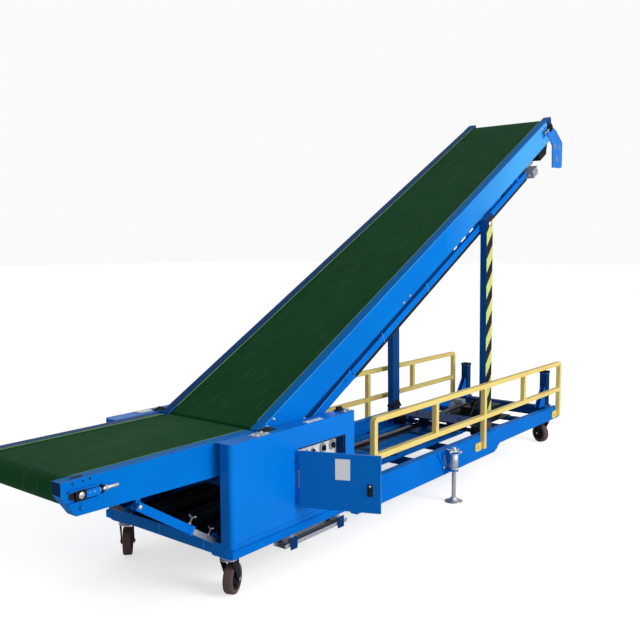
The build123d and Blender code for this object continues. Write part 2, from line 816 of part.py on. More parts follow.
with BuildPart() as infeed_frame:
    with BuildSketch(knee_view(-bed_half_width)):
        Polygon(*infeed_outline, align=None)
    extrude(amount=-flange_width)
    with BuildSketch(knee_view(-bed_half_width + bed_wall)):
        Polygon(*infeed_outline, align=None)
        offset(amount=-bed_wall, kind=Kind.INTERSECTION)
    extrude(amount=-flange_width, mode=Mode.SUBTRACT)
    with BuildSketch(knee_view(-bed_half_width + bed_wall / 2)):
        with Locations(tongue_root):
            Rectangle(tongue_spacer, tongue_spacer)
    extrude(amount=bed_wall / 2 + tongue_gap)
    with BuildSketch(knee_view(-bed_half_width - tongue_gap)):
        with Locations((tongue_root[0] / 2, 0)):
            Rectangle(tongue_spacer - tongue_root[0] + pivot_boss, 2 * tongue_half_height)
    extrude(amount=tongue_thickness)
    with BuildSketch(knee_view(-bed_half_width - tongue_gap + overrun)):
        Circle(shaft_radius + shaft_clearance)
    extrude(amount=2 * overrun, mode=Mode.SUBTRACT)
    with BuildSketch(knee_view(-strut_offset + strut_tongue / 2)):
        with Locations((top_lug[0], top_lug[1] + (lug_run - strut_eye) / 2)):
            Rectangle(2 * strut_eye, lug_run + strut_eye)
        with Locations(top_lug):
            Circle(strut_pin + shaft_clearance, mode=Mode.SUBTRACT)
    extrude(amount=strut_tongue)
    mirror(about=mid_plane)
    with BuildSketch(knee_view(0)):
        with Locations(((tail_wrap - nose_wrap) / 2, bed_top - bed_sheet / 2)):
            Rectangle(infeed_bed_length - bed_end_gap, bed_sheet)
    extrude(amount=bed_reach, both=True)
    for tube_share in infeed_tube_shares:
        with BuildSketch(knee_view(0)):
            with Locations((tube_share * tail_along, infeed_floor + bed_tube)):
                Rectangle(bed_tube, bed_tube)
        extrude(amount=bed_reach, both=True)
    for place, height in ((tail_along, tail_height), (-nose_roller_reach, nose_height)):
        with BuildSketch(knee_view(0)):
            with Locations((place, height)):
                RegularPolygon(roller_shaft + shaft_clearance, bar_side_count)
        extrude(amount=bed_half_width + 2 * overrun, both=True, mode=Mode.SUBTRACT)
infeed_frame.part.label = "infeed_frame"
export_step(infeed_frame.part, "parts/infeed_frame.step")

with BuildPart() as infeed_belt:
    with BuildSketch(knee_view(0)):
        with Locations((tail_along, tail_height)):
            Circle(tail_belt_radius)
        with Locations((-nose_roller_reach, nose_height)):
            Circle(nose_belt_radius)
        make_hull()
        offset(amount=-belt_thickness, mode=Mode.SUBTRACT)
    extrude(amount=belt_width / 2, both=True)
infeed_belt.part.label = "infeed_belt"
export_step(infeed_belt.part, "parts/infeed_belt.step")

infeed_roller_table = (
    # place, height, radius, half length of the shaft
    (tail_along, tail_height, tail_belt_radius - belt_thickness - seat_gap, bed_half_width),
    (-nose_roller_reach, nose_height, nose_roller_radius - seat_gap, bed_half_width + tongue_gap + tongue_thickness),
)
with BuildPart() as infeed_rollers:
    for place, height, radius, shaft_half in infeed_roller_table:
        with BuildSketch(knee_view(0)):
            with Locations((place, height)):
                Circle(radius)
        extrude(amount=belt_width / 2 + roller_end_play, both=True)
        with BuildSketch(knee_view(0)):
            with Locations((place, height)):
                RegularPolygon(roller_shaft, bar_side_count)
        extrude(amount=shaft_half, both=True)
infeed_rollers.part.label = "infeed_rollers"
export_step(infeed_rollers.part, "parts/infeed_rollers.step")

# Take-up blocks and screws at the infeed's front roller
take_up_block = 44
take_up_depth = 14
take_up_screw = 6
take_up_reach = 180
stop_distance = 100
stop_length = 12
stop_height = 34
take_up_face = bed_half_width + seat_gap
with BuildPart() as take_ups:
    with BuildSketch(knee_view(-take_up_face)):
        with Locations((tail_along, tail_height)):
            Rectangle(take_up_block, take_up_block)
    extrude(amount=take_up_depth)
    with BuildSketch(end_view(tail_roller_x)):
        with Locations((-take_up_face - take_up_depth / 2, knee_height + tail_height)):
            RegularPolygon(take_up_screw, bar_side_count)
    extrude(amount=take_up_reach)
    with BuildSketch(knee_view(-take_up_face)):
        with Locations((tail_along + stop_distance, tail_height)):
            Rectangle(stop_length, stop_height)
    extrude(amount=take_up_depth)
    mirror(about=mid_plane)
take_ups.part.label = "take_ups"
export_step(take_ups.part, "parts/take_ups.step")

# Telescopic struts between the infeed and the front angle
strut_run = (strut_bottom[0] - strut_top[0], strut_bottom[1] - strut_top[1])
strut_length = math.hypot(*strut_run)
strut_outer_size = 38
strut_outer_wall = 3
strut_inner_size = 26
strut_outer_share = 0.64
strut_overlap_share = 0.3
strut_end = 15
strut_fork = 45
strut_foot_gap = 20
strut_outer_length = strut_outer_share * strut_length
strut_inner_start = strut_outer_length - strut_overlap_share * strut_length
strut_inner_end = strut_length - strut_foot_gap


def strut_view(y):
    """The side view turned along the strut, with its origin on the upper pin."""
    return Plane(
        origin=(strut_top[0] - middle_x, y - middle_y, strut_top[1]),
        x_dir=(strut_run[0] / strut_length, 0, strut_run[1] / strut_length),
        z_dir=(0, -1, 0),
    )


with BuildPart() as strut_outers:
    with BuildSketch(strut_view(-strut_offset)):
        with Locations(((strut_outer_length - strut_end) / 2, 0)):
            Rectangle(strut_outer_length + strut_end, strut_outer_size)
    extrude(amount=strut_outer_size / 2, both=True)
    with BuildSketch(strut_view(-strut_offset)):
        with Locations((strut_outer_length / 2, 0)):
            Rectangle(2 * strut_outer_length, strut_outer_size - 2 * strut_outer_wall)
    extrude(amount=strut_outer_size / 2 - strut_outer_wall, both=True, mode=Mode.SUBTRACT)
    with BuildSketch(strut_view(-strut_offset)):
        with Locations(((strut_fork - strut_end) / 2, 0)):
            Rectangle(strut_fork + strut_end, strut_outer_size + 2 * overrun)
    extrude(amount=strut_outer_size / 2 - strut_outer_wall, both=True, mode=Mode.SUBTRACT)
    with BuildSketch(strut_view(-strut_offset)):
        RegularPolygon(strut_pin, bar_side_count)
    extrude(amount=strut_outer_size / 2, both=True)
    mirror(about=mid_plane)
strut_outers.part.label = "strut_outers"
export_step(strut_outers.part, "parts/strut_outers.step")

with BuildPart() as strut_inners:
    with BuildSketch(strut_view(-strut_offset)):
        with Locations(((strut_inner_start + strut_inner_end) / 2, 0)):
            Rectangle(strut_inner_end - strut_inner_start, strut_inner_size)
    extrude(amount=strut_inner_size / 2, both=True)
    with BuildSketch(strut_view(-strut_offset)):
        with Locations((strut_length - strut_foot_gap / 2, 0)):
            Rectangle(strut_foot_gap + 2 * overrun, strut_inner_size - 2 * strut_outer_wall)
    extrude(amount=strut_tongue / 2, both=True)
    with BuildSketch(strut_view(-strut_offset)):
        with Locations((strut_length, 0)):
            RegularPolygon(strut_pin, bar_side_count)
    extrude(amount=strut_tongue / 2 + lug_play - seat_gap, both=True)
    mirror(about=mid_plane)
strut_inners.part.label = "strut_inners"
export_step(strut_inners.part, "parts/strut_inners.step")

# Lift legs, hinged on the foot axle; their tops are cut along the incline
leg_inner = bed_half_width + leg_gap
leg_crown_gap = 4
leg_toe = 32
leg_cut = incline_angle - math.degrees(math.atan2(leg_run[1], leg_run[0]))
leg_cut_slope = math.tan(math.radians(leg_cut))
leg_crown = leg_length + (leg_top_below - leg_crown_gap) / -math.sin(math.radians(leg_cut))


def leg_view(y):
    """The side view turned along the leg, with its origin on the foot axle."""
    return Plane(
        origin=(foot_axle_x - middle_x, y - middle_y, foot_axle_height),
        x_dir=(leg_run[0] / leg_length, 0, leg_run[1] / leg_length),
        z_dir=(0, -1, 0),
    )


with BuildPart() as lift_legs:
    with BuildSketch(leg_view(-leg_inner)):
        Polygon(
            (-leg_toe, -leg_depth / 2 + leg_toe / 2),
            (0, -leg_depth / 2),
            (leg_crown + -leg_depth / 2 / leg_cut_slope, -leg_depth / 2),
            (leg_crown + leg_depth / 2 / leg_cut_slope, leg_depth / 2),
            (0, leg_depth / 2),
            (-leg_toe, leg_depth / 2 - leg_toe / 2),
            align=None,
        )
        Circle(foot_axle_radius + shaft_clearance, mode=Mode.SUBTRACT)
    extrude(amount=leg_width)
    mirror(about=mid_plane)
lift_legs.part.label = "lift_legs"
export_step(lift_legs.part, "parts/lift_legs.step")

# Foot carriage: the axle with its rod lugs
rod_lug_width = 50
axle_end_play = 4
with BuildPart() as foot_carriage:
    with BuildSketch(side_view(0)):
        with Locations((foot_axle_x, foot_axle_height)):
            Circle(foot_axle_radius)
    extrude(amount=leg_inner + leg_width + axle_end_play, both=True)
    for spot in (-barrel_offset, barrel_offset):
        with BuildSketch(side_view(spot)):
            with Locations((foot_axle_x, foot_axle_height)):
                Rectangle(2 * rod_lug_radius, 2 * rod_lug_radius)
        extrude(amount=rod_lug_width / 2, both=True)
foot_carriage.part.label = "foot_carriage"
export_step(foot_carriage.part, "parts/foot_carriage.step")

roller_width = 44
with BuildPart() as foot_rollers:
    for spot in (-track_offset, track_offset):
        with BuildSketch(side_view(spot)):
            with Locations((foot_axle_x, foot_axle_height)):
                Circle(foot_roller_radius)
                Circle(foot_axle_radius + shaft_clearance, mode=Mode.SUBTRACT)
        extrude(amount=roller_width / 2, both=True)
foot_rollers.part.label = "foot_rollers"
export_step(foot_rollers.part, "parts/foot_rollers.step")

rod_start = barrel_start + carriage_travel + rod_reserve
rod_end = foot_axle_x - rod_lug_radius - seat_gap
with BuildPart() as cylinder_rods:
    with BuildSketch(end_view(rod_start)):
        with Locations((-barrel_offset, foot_axle_height), (barrel_offset, foot_axle_height)):
            RegularPolygon(rod_radius, rod_side_count)
    extrude(amount=rod_end - rod_start)
cylinder_rods.part.label = "cylinder_rods"
export_step(cylinder_rods.part, "parts/cylinder_rods.step")

# Casters: plates with race rings, forks and wheels, one of each at every corner
plate_thickness = 8
caster_plate = 112
race_radius = 32
race_depth = 19
crown_size = 72
crown_thickness = 8
crown_ahead = 8
fork_gap = 5
fork_wall = 5
fork_toe = 17
fork_axle_end = 6
axle_radius = 8
plate_under = front_rail_low - seat_gap - plate_thickness
crown_top = plate_under - race_depth - seat_gap
crown_low = crown_top - crown_thickness
fork_half = wheel_width / 2 + fork_gap
caster_rear = chassis_length - caster_inset
caster_table = (
    # name, x, y, heading of the trail in degrees
    ("front_right", caster_inset, -caster_offset, 24),
    ("front_left", caster_inset, caster_offset, 48),
    ("rear_right", caster_rear, -caster_offset, 66),
    ("rear_left", caster_rear, caster_offset, 40),
)
with BuildPart() as caster_plates:
    for name, x, y, heading in caster_table:
        with BuildSketch(top_view(plate_under)):
            with Locations((x, y)):
                Rectangle(caster_plate, caster_plate)
        extrude(amount=plate_thickness)
        with BuildSketch(top_view(plate_under - race_depth)):
            with Locations((x, y)):
                Circle(race_radius)
        extrude(amount=race_depth)
caster_plates.part.label = "caster_plates"
export_step(caster_plates.part, "parts/caster_plates.step")


def caster_side(x, y, heading, across):
    """An upright plane along a caster's trail, shifted sideways from its swivel axis."""
    ahead = (math.cos(math.radians(heading)), math.sin(math.radians(heading)), 0)
    aside = (ahead[1], -ahead[0], 0)
    spot = (x - middle_x + across * aside[0], y - middle_y + across * aside[1], 0)
    return Plane(origin=spot, x_dir=ahead, z_dir=aside)


for name, x, y, heading in caster_table:
    with BuildPart() as fork:
        with BuildSketch(caster_side(x, y, heading, 0)):
            with Locations((crown_ahead, crown_low + crown_thickness / 2)):
                Rectangle(crown_size, crown_thickness)
        extrude(amount=fork_half + fork_wall, both=True)
        for across in (-fork_half - fork_wall, fork_half):
            with BuildSketch(caster_side(x, y, heading, across)):
                Polygon(
                    (crown_ahead - crown_size / 2, crown_low),
                    (crown_ahead + crown_size / 2, crown_low),
                    (caster_trail + fork_toe, wheel_radius),
                    (caster_trail + fork_toe / 2, wheel_radius - fork_toe),
                    (caster_trail - fork_toe / 2, wheel_radius - fork_toe),
                    (caster_trail - fork_toe, wheel_radius),
                    align=None,
                )
            extrude(amount=fork_wall)
        with BuildSketch(caster_side(x, y, heading, 0)):
            with Locations((caster_trail, wheel_radius)):
                RegularPolygon(axle_radius, bar_side_count)
        extrude(amount=fork_half + fork_wall + fork_axle_end, both=True)
    fork.part.label = "fork_" + name
    export_step(fork.part, "parts/fork_" + name + ".step")
    with BuildPart() as wheel:
        with BuildSketch(caster_side(x, y, heading, 0)):
            with Locations((caster_trail, wheel_radius)):
                Circle(wheel_radius)
                Circle(axle_radius + shaft_clearance, mode=Mode.SUBTRACT)
        extrude(amount=wheel_width / 2, both=True)
    wheel.part.label = "wheel_" + name
    export_step(wheel.part, "parts/wheel_" + name + ".step")

# Screw jacks beside the chassis
jack_tube = 26
jack_rod = 14
jack_side_count = 16
foot_side_count = 24
jack_bore_gap = 0.5
jack_tube_low = 205
jack_tube_top = 325
jack_shelf = 8
jack_plate_width = 100
jack_foot_thickness = 8
jack_head_gap = 2
jack_screw_rise = 34
jack_handle = 112
jack_bar = 14
jack_hub = 24
arm_spread = 105
arm_width = 16
shelf_heights = (jack_tube_low, jack_tube_top - jack_shelf - jack_bar)
jack_face = chassis_half_width + seat_gap
with BuildPart() as jack_brackets:
    for side_name, side in sides:
        with BuildSketch(top_view(jack_tube_low)):
            with Locations((jack_x, side * jack_offset)):
                RegularPolygon(jack_tube, jack_side_count)
        extrude(amount=jack_tube_top - jack_tube_low)
        for height in shelf_heights:
            with BuildSketch(top_view(height)):
                with Locations((jack_x, side * (jack_face + jack_offset) / 2)):
                    Rectangle(2 * jack_tube, jack_offset - jack_face)
            extrude(amount=jack_shelf)
        with BuildSketch(side_view(side * jack_face)):
            with Locations((jack_x, (jack_tube_low + jack_tube_top) / 2)):
                Rectangle(jack_plate_width, jack_tube_top - jack_tube_low)
            for end in (-1, 1):
                Polygon(
                    (jack_x, jack_tube_low),
                    (jack_x + end * arm_width, jack_tube_low),
                    (jack_x + end * (arm_spread + arm_width), jack_tube_top),
                    (jack_x + end * arm_spread, jack_tube_top),
                    align=None,
                )
        extrude(amount=-side * jack_shelf)
        with BuildSketch(top_view(jack_tube_low - overrun)):
            with Locations((jack_x, side * jack_offset)):
                RegularPolygon(jack_rod + jack_bore_gap, jack_side_count)
        extrude(amount=jack_tube_top - jack_tube_low + 2 * overrun, mode=Mode.SUBTRACT)
jack_brackets.part.label = "jack_brackets"
export_step(jack_brackets.part, "parts/jack_brackets.step")

for side_name, side in sides:
    with BuildPart() as jack_foot:
        with BuildSketch(top_view(0)):
            with Locations((jack_x, side * jack_offset)):
                RegularPolygon(jack_foot_radius, foot_side_count)
        extrude(amount=jack_foot_thickness)
        with BuildSketch(top_view(0)):
            with Locations((jack_x, side * jack_offset)):
                RegularPolygon(jack_rod, jack_side_count)
        extrude(amount=jack_tube_top + jack_screw_rise)
        with BuildSketch(top_view(jack_tube_top + jack_head_gap)):
            with Locations((jack_x, side * jack_offset)):
                RegularPolygon(jack_hub, bar_side_count)
                Rectangle(jack_handle, jack_bar)
                Rectangle(jack_bar, jack_handle)
        extrude(amount=jack_bar)
    jack_foot.part.label = "jack_foot_" + side_name
    export_step(jack_foot.part, "parts/jack_foot_" + side_name + ".step")
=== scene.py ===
import math

import bmesh
import bpy
from mathutils import Matrix, Vector


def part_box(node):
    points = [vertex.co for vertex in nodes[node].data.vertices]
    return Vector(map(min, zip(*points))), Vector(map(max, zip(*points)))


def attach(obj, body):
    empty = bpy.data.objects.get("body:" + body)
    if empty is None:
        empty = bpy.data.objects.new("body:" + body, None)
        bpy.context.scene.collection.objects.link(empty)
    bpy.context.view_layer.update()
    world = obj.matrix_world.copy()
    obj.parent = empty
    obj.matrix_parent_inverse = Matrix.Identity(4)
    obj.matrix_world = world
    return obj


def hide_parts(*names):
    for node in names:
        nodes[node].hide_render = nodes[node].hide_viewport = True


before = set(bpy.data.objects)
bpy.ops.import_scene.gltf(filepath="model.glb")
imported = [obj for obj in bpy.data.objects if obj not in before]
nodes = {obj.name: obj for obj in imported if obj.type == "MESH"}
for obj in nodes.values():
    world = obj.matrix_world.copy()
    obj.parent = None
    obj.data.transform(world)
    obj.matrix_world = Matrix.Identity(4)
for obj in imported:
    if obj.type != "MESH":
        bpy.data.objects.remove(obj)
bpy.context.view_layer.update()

# Camera of the photograph, with its focal length in the picture's pixels and its sensor in millimetres
photo_width = 640
focal_pixels = 782.3
sensor_width = 36
camera_lens = focal_pixels / photo_width * sensor_width
camera_spot = (-4.0719, -2.8311, 1.6626)
camera_yaw = 38.7875
camera_pitch = 5.4432
camera_roll = -0.2657

# Places that scene.py shares with the CAD, in millimetres from the chassis front, its middle and the floor.
# A pair is (x, z) for knee, strut ends, foot_axle and coupling_corner, (x, y) for jack, rest_post and
# door_hinge, and (along, height) on the incline for leg_top, head_axle and motor_axis.
knee = (321, 710)
incline_angle = 29.03
incline_length = 4005
bed_half = 366
strip_span = (300.6, 305.6)
strip_height = 46
chassis_half = 478
housing_half = 472
ledge_top = 760
jack = (1952, 538)
take_up_height = 697
strut_y = 340
strut_top = (-424, 564.2)
strut_low = (34, 266)
foot_axle = (2662, 300)
leg_inner, leg_outer = 371, 421
leg_top = (2560, -165)
track_y = 318
caster_trail, wheel_radius = 45, 75
cylinder_spots = (-120, 120)
barrel_end = 1349
power_start, power_end = 2802, 3763.7
rest_post = (3793.7, 368)
under_rail_y = 339.7
under_rail_face = 361
rail_joints = (759, 1131, 1703, 2660)
rail_end = 3380
clamped_posts = (2444, 3781)
nose_along = 32
head_axle = (3940, -17)
motor_axis = (0.915 * incline_length, -195)
coupling_corner = (3798.2, 2697.2)
coupling_holes = ((90, 230), (180, 230), (135, 330))
door_hinge = (458, -486)
door_turn = math.radians(-66.2)

both = (-1, 1)
right_only = (-1,)
sides = (("right", -1), ("left", 1))

low_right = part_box("side_member_right")[0]
high_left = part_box("side_member_left")[1]
shift_x = low_right.x
shift_y = (low_right.y + high_left.y) / 2
slope = math.radians(incline_angle)
uphill = Vector((math.cos(slope), 0, math.sin(slope)))
upright = Vector((-math.sin(slope), 0, math.cos(slope)))
along_x, along_y, along_z = Vector((1, 0, 0)), Vector((0, 1, 0)), Vector((0, 0, 1))
level_axes = (along_x, along_y, along_z)
incline_axes = (uphill, along_y, upright)


def at(x, y, z):
    """A point of the machine, from millimetres in its own frame to metres in the row's frame."""
    return Vector((x / 1000 + shift_x, y / 1000 + shift_y, z / 1000))


def on_incline(along, y, height):
    """A point given along the incline from the knee axis, and square to it."""
    return at(knee[0], y, knee[1]) + uphill * along / 1000 + upright * height / 1000


def oblong(start, end, low, high):
    """The corners of an upright or level rectangle."""
    return (start, low), (end, low), (end, high), (start, high)


def oval(middle, other, half, other_half, steps):
    """Points round an oval, from its middle and its two half widths."""
    turns = (2 * math.pi * i / steps for i in range(steps))
    return [(middle + half * math.cos(turn), other + other_half * math.sin(turn)) for turn in turns]


def moved(outline, along):
    """An outline that is given from a place along the machine."""
    return [(along + first, second) for first, second in outline]


def four_round(middle, other, half, other_half):
    """Four places round a middle, such as the bolts of a plate."""
    return [(middle + a * half, other + b * other_half) for a in both for b in both]


class Shape:
    """Gathers the forms of one piece in a single mesh, then puts the piece on its body."""

    def __init__(self):
        self.mesh = bmesh.new()
        self.paint = 0

    def ring(self, centre, first, second, radius, steps):
        """Corners round a centre, or the centre alone where the radius is nothing."""
        if radius == 0:
            return [self.mesh.verts.new(centre)]
        first, second = first * radius / 1000, second * radius / 1000
        turns = (2 * math.pi * i / steps for i in range(steps))
        return [self.mesh.verts.new(centre + first * math.cos(turn) + second * math.sin(turn))
                for turn in turns]

    def face(self, corners, smooth=False):
        """One face through corners of the mesh, in the present paint."""
        face = self.mesh.faces.new(corners)
        face.material_index = self.paint
        face.smooth = smooth

    def faces(self, points, loops):
        """New corners at the points, and a face for each loop of their numbers."""
        corners = [self.mesh.verts.new(point) for point in points]
        for loop in loops:
            self.face([corners[i] for i in loop])
        return self

    def prism(self, outline, thickness):
        """A plate: outline is a list of points in the row's frame, thickness a vector in metres."""
        count = len(outline)
        points = list(outline) + [point + thickness for point in outline]
        loops = [list(range(count))[::-1], list(range(count, 2 * count))]
        loops += [[i, (i + 1) % count, (i + 1) % count + count, i + count] for i in range(count)]
        return self.faces(points, loops)

    def block(self, centre, halves, axes=level_axes):
        """A box from its centre and its half sizes along three axes, in millimetres."""
        a, b, c = (axis * half / 1000 for axis, half in zip(axes, halves))
        low = centre - c
        return self.prism([low - a - b, low + a - b, low + a + b, low - a + b], 2 * c)

    def wall(self, place, y, outline, thickness, on=both):
        """Upright plates along the sides: outline lists (along, height), thickness counts outward."""
        for side in on:
            self.prism([place(along, side * y, height) for along, height in outline],
                       along_y * side * thickness / 1000)
        return self

    def lid(self, height, outline, thickness, on=(1,)):
        """Level plates: outline lists (x, y), thickness counts upward."""
        for side in on:
            self.prism([at(x, side * y, height) for x, y in outline], along_z * thickness / 1000)
        return self

    def front(self, x, outline, thickness):
        """A plate across the machine: outline lists (y, height), thickness counts backward."""
        return self.prism([at(x, y, height) for y, height in outline], along_x * thickness / 1000)

    def turned(self, base, axis, profile, steps=32, flat=False):
        """A turned form: profile lists (radius, distance along the axis) in millimetres."""
        axis = axis.normalized()
        first = axis.orthogonal().normalized()
        second = axis.cross(first)
        rings = [self.ring(base + axis * distance / 1000, first, second, radius, steps)
                 for radius, distance in profile]
        for low, high in zip(rings, rings[1:]):
            for i in range(steps):
                j = (i + 1) % steps
                around = (low[i % len(low)], low[j % len(low)], high[j % len(high)], high[i % len(high)])
                corners = list(dict.fromkeys(around))
                if len(corners) > 2:
                    self.face(corners, smooth=not flat)
        return self

    def side_turned(self, place, y, spots, profile, steps):
        """The same turned form on both sides at each (along, height), facing outward."""
        for side in both:
            for along, height in spots:
                self.turned(place(along, side * y, height), along_y * side, profile, steps)
        return self

    def bolt(self, base, axis, size=8, washer=True):
        """A hexagon head on a washer; size is the thread in millimetres."""
        if washer:
            disc = ((0, 0), (1.05, 0), (1.05, 0.18), (0, 0.18))
            self.turned(base, axis, [(size * radius, size * rise) for radius, rise in disc], 20)
        head = ((0, 0), (0.9, 0), (0.9, 0.75), (0.6, 0.9), (0, 0.9))
        self.turned(base, axis, [(size * radius, size * rise) for radius, rise in head], 6, flat=True)
        return self

    def bolts(self, places, axis, size=8, washer=True):
        """The same bolt at every place."""
        for place in places:
            self.bolt(place, axis, size, washer)
        return self

    def side_bolts(self, place, y, spots, size=8):
        """Bolts on both sides at each (along, height), heads outward."""
        for side in both:
            self.bolts([place(along, side * y, height) for along, height in spots], along_y * side, size)
        return self

    def pipe(self, points, radius, steps=12):
        """A round bar or pipe through points, in metres; radius in millimetres."""
        last = len(points) - 1
        rings = []
        aside = None
        for i, point in enumerate(points):
            ahead = (points[min(i + 1, last)] - points[max(i - 1, 0)]).normalized()
            if aside is None:
                aside = ahead.orthogonal().normalized()
            aside = (aside - ahead * aside.dot(ahead)).normalized()
            rings.append(self.ring(point, aside, ahead.cross(aside), radius, steps))
        for low, high in zip(rings, rings[1:]):
            for k in range(steps):
                self.face((low[k], low[(k + 1) % steps], high[(k + 1) % steps], high[k]), smooth=True)
        self.face(rings[0][::-1])
        self.face(rings[-1])
        return self

    def done(self, name, body, *materials, bevel=0.0, rings=2, replaces=()):
        """Makes the object, softens its edges and hangs it on its body."""
        bmesh.ops.recalc_face_normals(self.mesh, faces=self.mesh.faces)
        data = bpy.data.meshes.new(name)
        self.mesh.to_mesh(data)
        self.mesh.free()
        for material in materials:
            data.materials.append(material)
        piece = bpy.data.objects.new(name, data)
        bpy.context.collection.objects.link(piece)
        if bevel:
            soft = piece.modifiers.new("soft_edges", "BEVEL")
            soft.width = bevel / 1000
            soft.segments = rings
            soft.limit_method = "ANGLE"
            soft.angle_limit = math.radians(40)
            soft.harden_normals = True
        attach(piece, body)
        if replaces:
            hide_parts(*replaces)
        return piece




def shade(red, green, blue):
    """A colour from its display values, 0 to 255."""
    shares = (value / 255 for value in (red, green, blue))
    return tuple(s / 12.92 if s <= 0.04045 else ((s + 0.055) / 1.055) ** 2.4 for s in shares) + (1,)


class Wires:
    """Adds nodes to a shader tree; an input takes a value, or the output that feeds it."""

    def __init__(self, tree):
        self.tree = tree

    def feed(self, node, inputs):
        """Sets or links a node's inputs by name or number."""
        for name, value in inputs.items():
            if isinstance(value, bpy.types.NodeSocket):
                self.tree.links.new(value, node.inputs[name])
            else:
                node.inputs[name].default_value = value

    def node(self, kind, inputs=None, **settings):
        """A new node; kind is its type, without ShaderNode where the type starts with it."""
        made = self.tree.nodes.new(kind if kind.startswith("Node") else "ShaderNode" + kind)
        for name, value in settings.items():
            setattr(made, name, value)
        self.feed(made, inputs or {})
        return made

    def sum(self, operation, first, second=0.0, third=0.0, clamp=False):
        """The outcome of a Math node."""
        made = self.node("Math", {0: first, 1: second, 2: third}, operation=operation, use_clamp=clamp)
        return made.outputs[0]

    def place(self, output="Object"):
        return self.node("TexCoord").outputs[output]

    def coordinate(self, axis, output="Object"):
        """One coordinate of the place on the piece, or of its face's direction with Normal."""
        return self.node("SeparateXYZ", {0: self.place(output)}).outputs[axis]

    def clouds(self, size, detail=3.0):
        """Noise over the piece, finer where size is larger."""
        return self.node("TexNoise", {"Vector": self.place(), "Scale": size, "Detail": detail}).outputs["Fac"]

    def stretch(self, value, low, high):
        """Spreads the values between low and high over 0 to 1."""
        made = self.node("MapRange", {"Value": value, "From Min": low, "From Max": high})
        return made.outputs["Result"]

    def blend(self, share, first, second):
        """The first colour where the share is 0 and the second where it is 1."""
        made = self.node("Mix", {"Factor": share}, data_type="RGBA")
        self.feed(made, {6: first, 7: second})
        return made.outputs[2]


def new_group(name, inputs, outputs):
    """An empty shader node group; each input is (name, kind, usual value)."""
    tree = bpy.data.node_groups.new(name, "ShaderNodeTree")
    for label, kind, value in inputs:
        socket = tree.interface.new_socket(label, in_out="INPUT", socket_type="NodeSocket" + kind)
        if value is not None:
            socket.default_value = value
    for label, kind in outputs:
        tree.interface.new_socket(label, in_out="OUTPUT", socket_type="NodeSocket" + kind)
    wires = Wires(tree)
    return wires, wires.node("NodeGroupInput").outputs, wires.node("NodeGroupOutput")


def make_edge_rub():
    """Outer edges: a mask of rubbed spots along them, and a normal that rounds them."""
    wires, given, out = new_group(
        "edge_rub",
        (("Width", "Float", 0.002), ("Amount", "Float", 0.5), ("Spot Size", "Float", 40.0)),
        (("Mask", "Float"), ("Normal", "Vector")),
    )
    rounded = wires.node("Bevel", {"Radius": given["Width"]}, samples=3).outputs["Normal"]
    flat = wires.node("NewGeometry").outputs["Normal"]
    agree = wires.node("VectorMath", {0: rounded, 1: flat}, operation="DOT_PRODUCT").outputs["Value"]
    edge = wires.stretch(agree, 0.995, 0.9)
    spots = wires.stretch(wires.clouds(given["Spot Size"], 4.0), 0.42, 0.62)
    rubbed = wires.sum("MULTIPLY", edge, spots, clamp=True)
    wires.feed(out, {"Mask": wires.sum("MULTIPLY", rubbed, given["Amount"], clamp=True), "Normal": rounded})
    return wires.tree


def make_surface_grain():
    """Cloudy colour, uneven gloss and a fine grain."""
    wires, given, out = new_group(
        "surface_grain",
        (
            ("Colour", "Color", None), ("Tint", "Color", None), ("Cloud Size", "Float", 3.0),
            ("Grain Size", "Float", 600.0), ("Grain Depth", "Float", 0.1), ("Roughness", "Float", 0.4),
            ("Roughness Spread", "Float", 0.15), ("Normal", "Vector", None),
        ),
        (("Colour", "Color"), ("Roughness", "Float"), ("Normal", "Vector")),
    )
    cloud = wires.stretch(wires.clouds(given["Cloud Size"], 5.0), 0.3, 0.7)
    uneven = wires.sum("SUBTRACT", wires.clouds(wires.sum("MULTIPLY", given["Cloud Size"], 4.0), 4.0), 0.5)
    rough = wires.sum("MULTIPLY_ADD", uneven, given["Roughness Spread"], given["Roughness"], clamp=True)
    grain = wires.clouds(given["Grain Size"], 2.0)
    bump = wires.node("Bump", {"Strength": given["Grain Depth"], "Distance": 0.001, "Height": grain,
                               "Normal": given["Normal"]})
    wires.feed(out, {"Colour": wires.blend(cloud, given["Colour"], given["Tint"]), "Roughness": rough,
                     "Normal": bump.outputs["Normal"]})
    return wires.tree


def make_settled_dust():
    """A thin film of dust on faces that look up, in patches."""
    wires, given, out = new_group(
        "settled_dust",
        (
            ("Colour", "Color", None), ("Roughness", "Float", 0.4), ("Dust", "Color", None),
            ("Amount", "Float", 0.2), ("Patch Size", "Float", 6.0),
        ),
        (("Colour", "Color"), ("Roughness", "Float")),
    )
    level = wires.stretch(wires.coordinate("Z", "Normal"), 0.2, 1.0)
    patches = wires.stretch(wires.clouds(given["Patch Size"], 6.0), 0.35, 0.75)
    share = wires.sum("MULTIPLY", wires.sum("MULTIPLY", level, patches), given["Amount"], clamp=True)
    wires.feed(out, {
        "Colour": wires.blend(share, given["Colour"], given["Dust"]),
        "Roughness": wires.sum("MULTIPLY_ADD", share, 0.4, given["Roughness"], clamp=True),
    })
    return wires.tree


edge_rub = make_edge_rub()
surface_grain = make_surface_grain()
settled_dust = make_settled_dust()
dust_colour = shade(150, 145, 135)


def new_material(name):
    """A new material with its wires and its shader."""
    material = bpy.data.materials.new(name)
    material.use_nodes = True
    wires = Wires(material.node_tree)
    return material, wires, material.node_tree.nodes["Principled BSDF"]


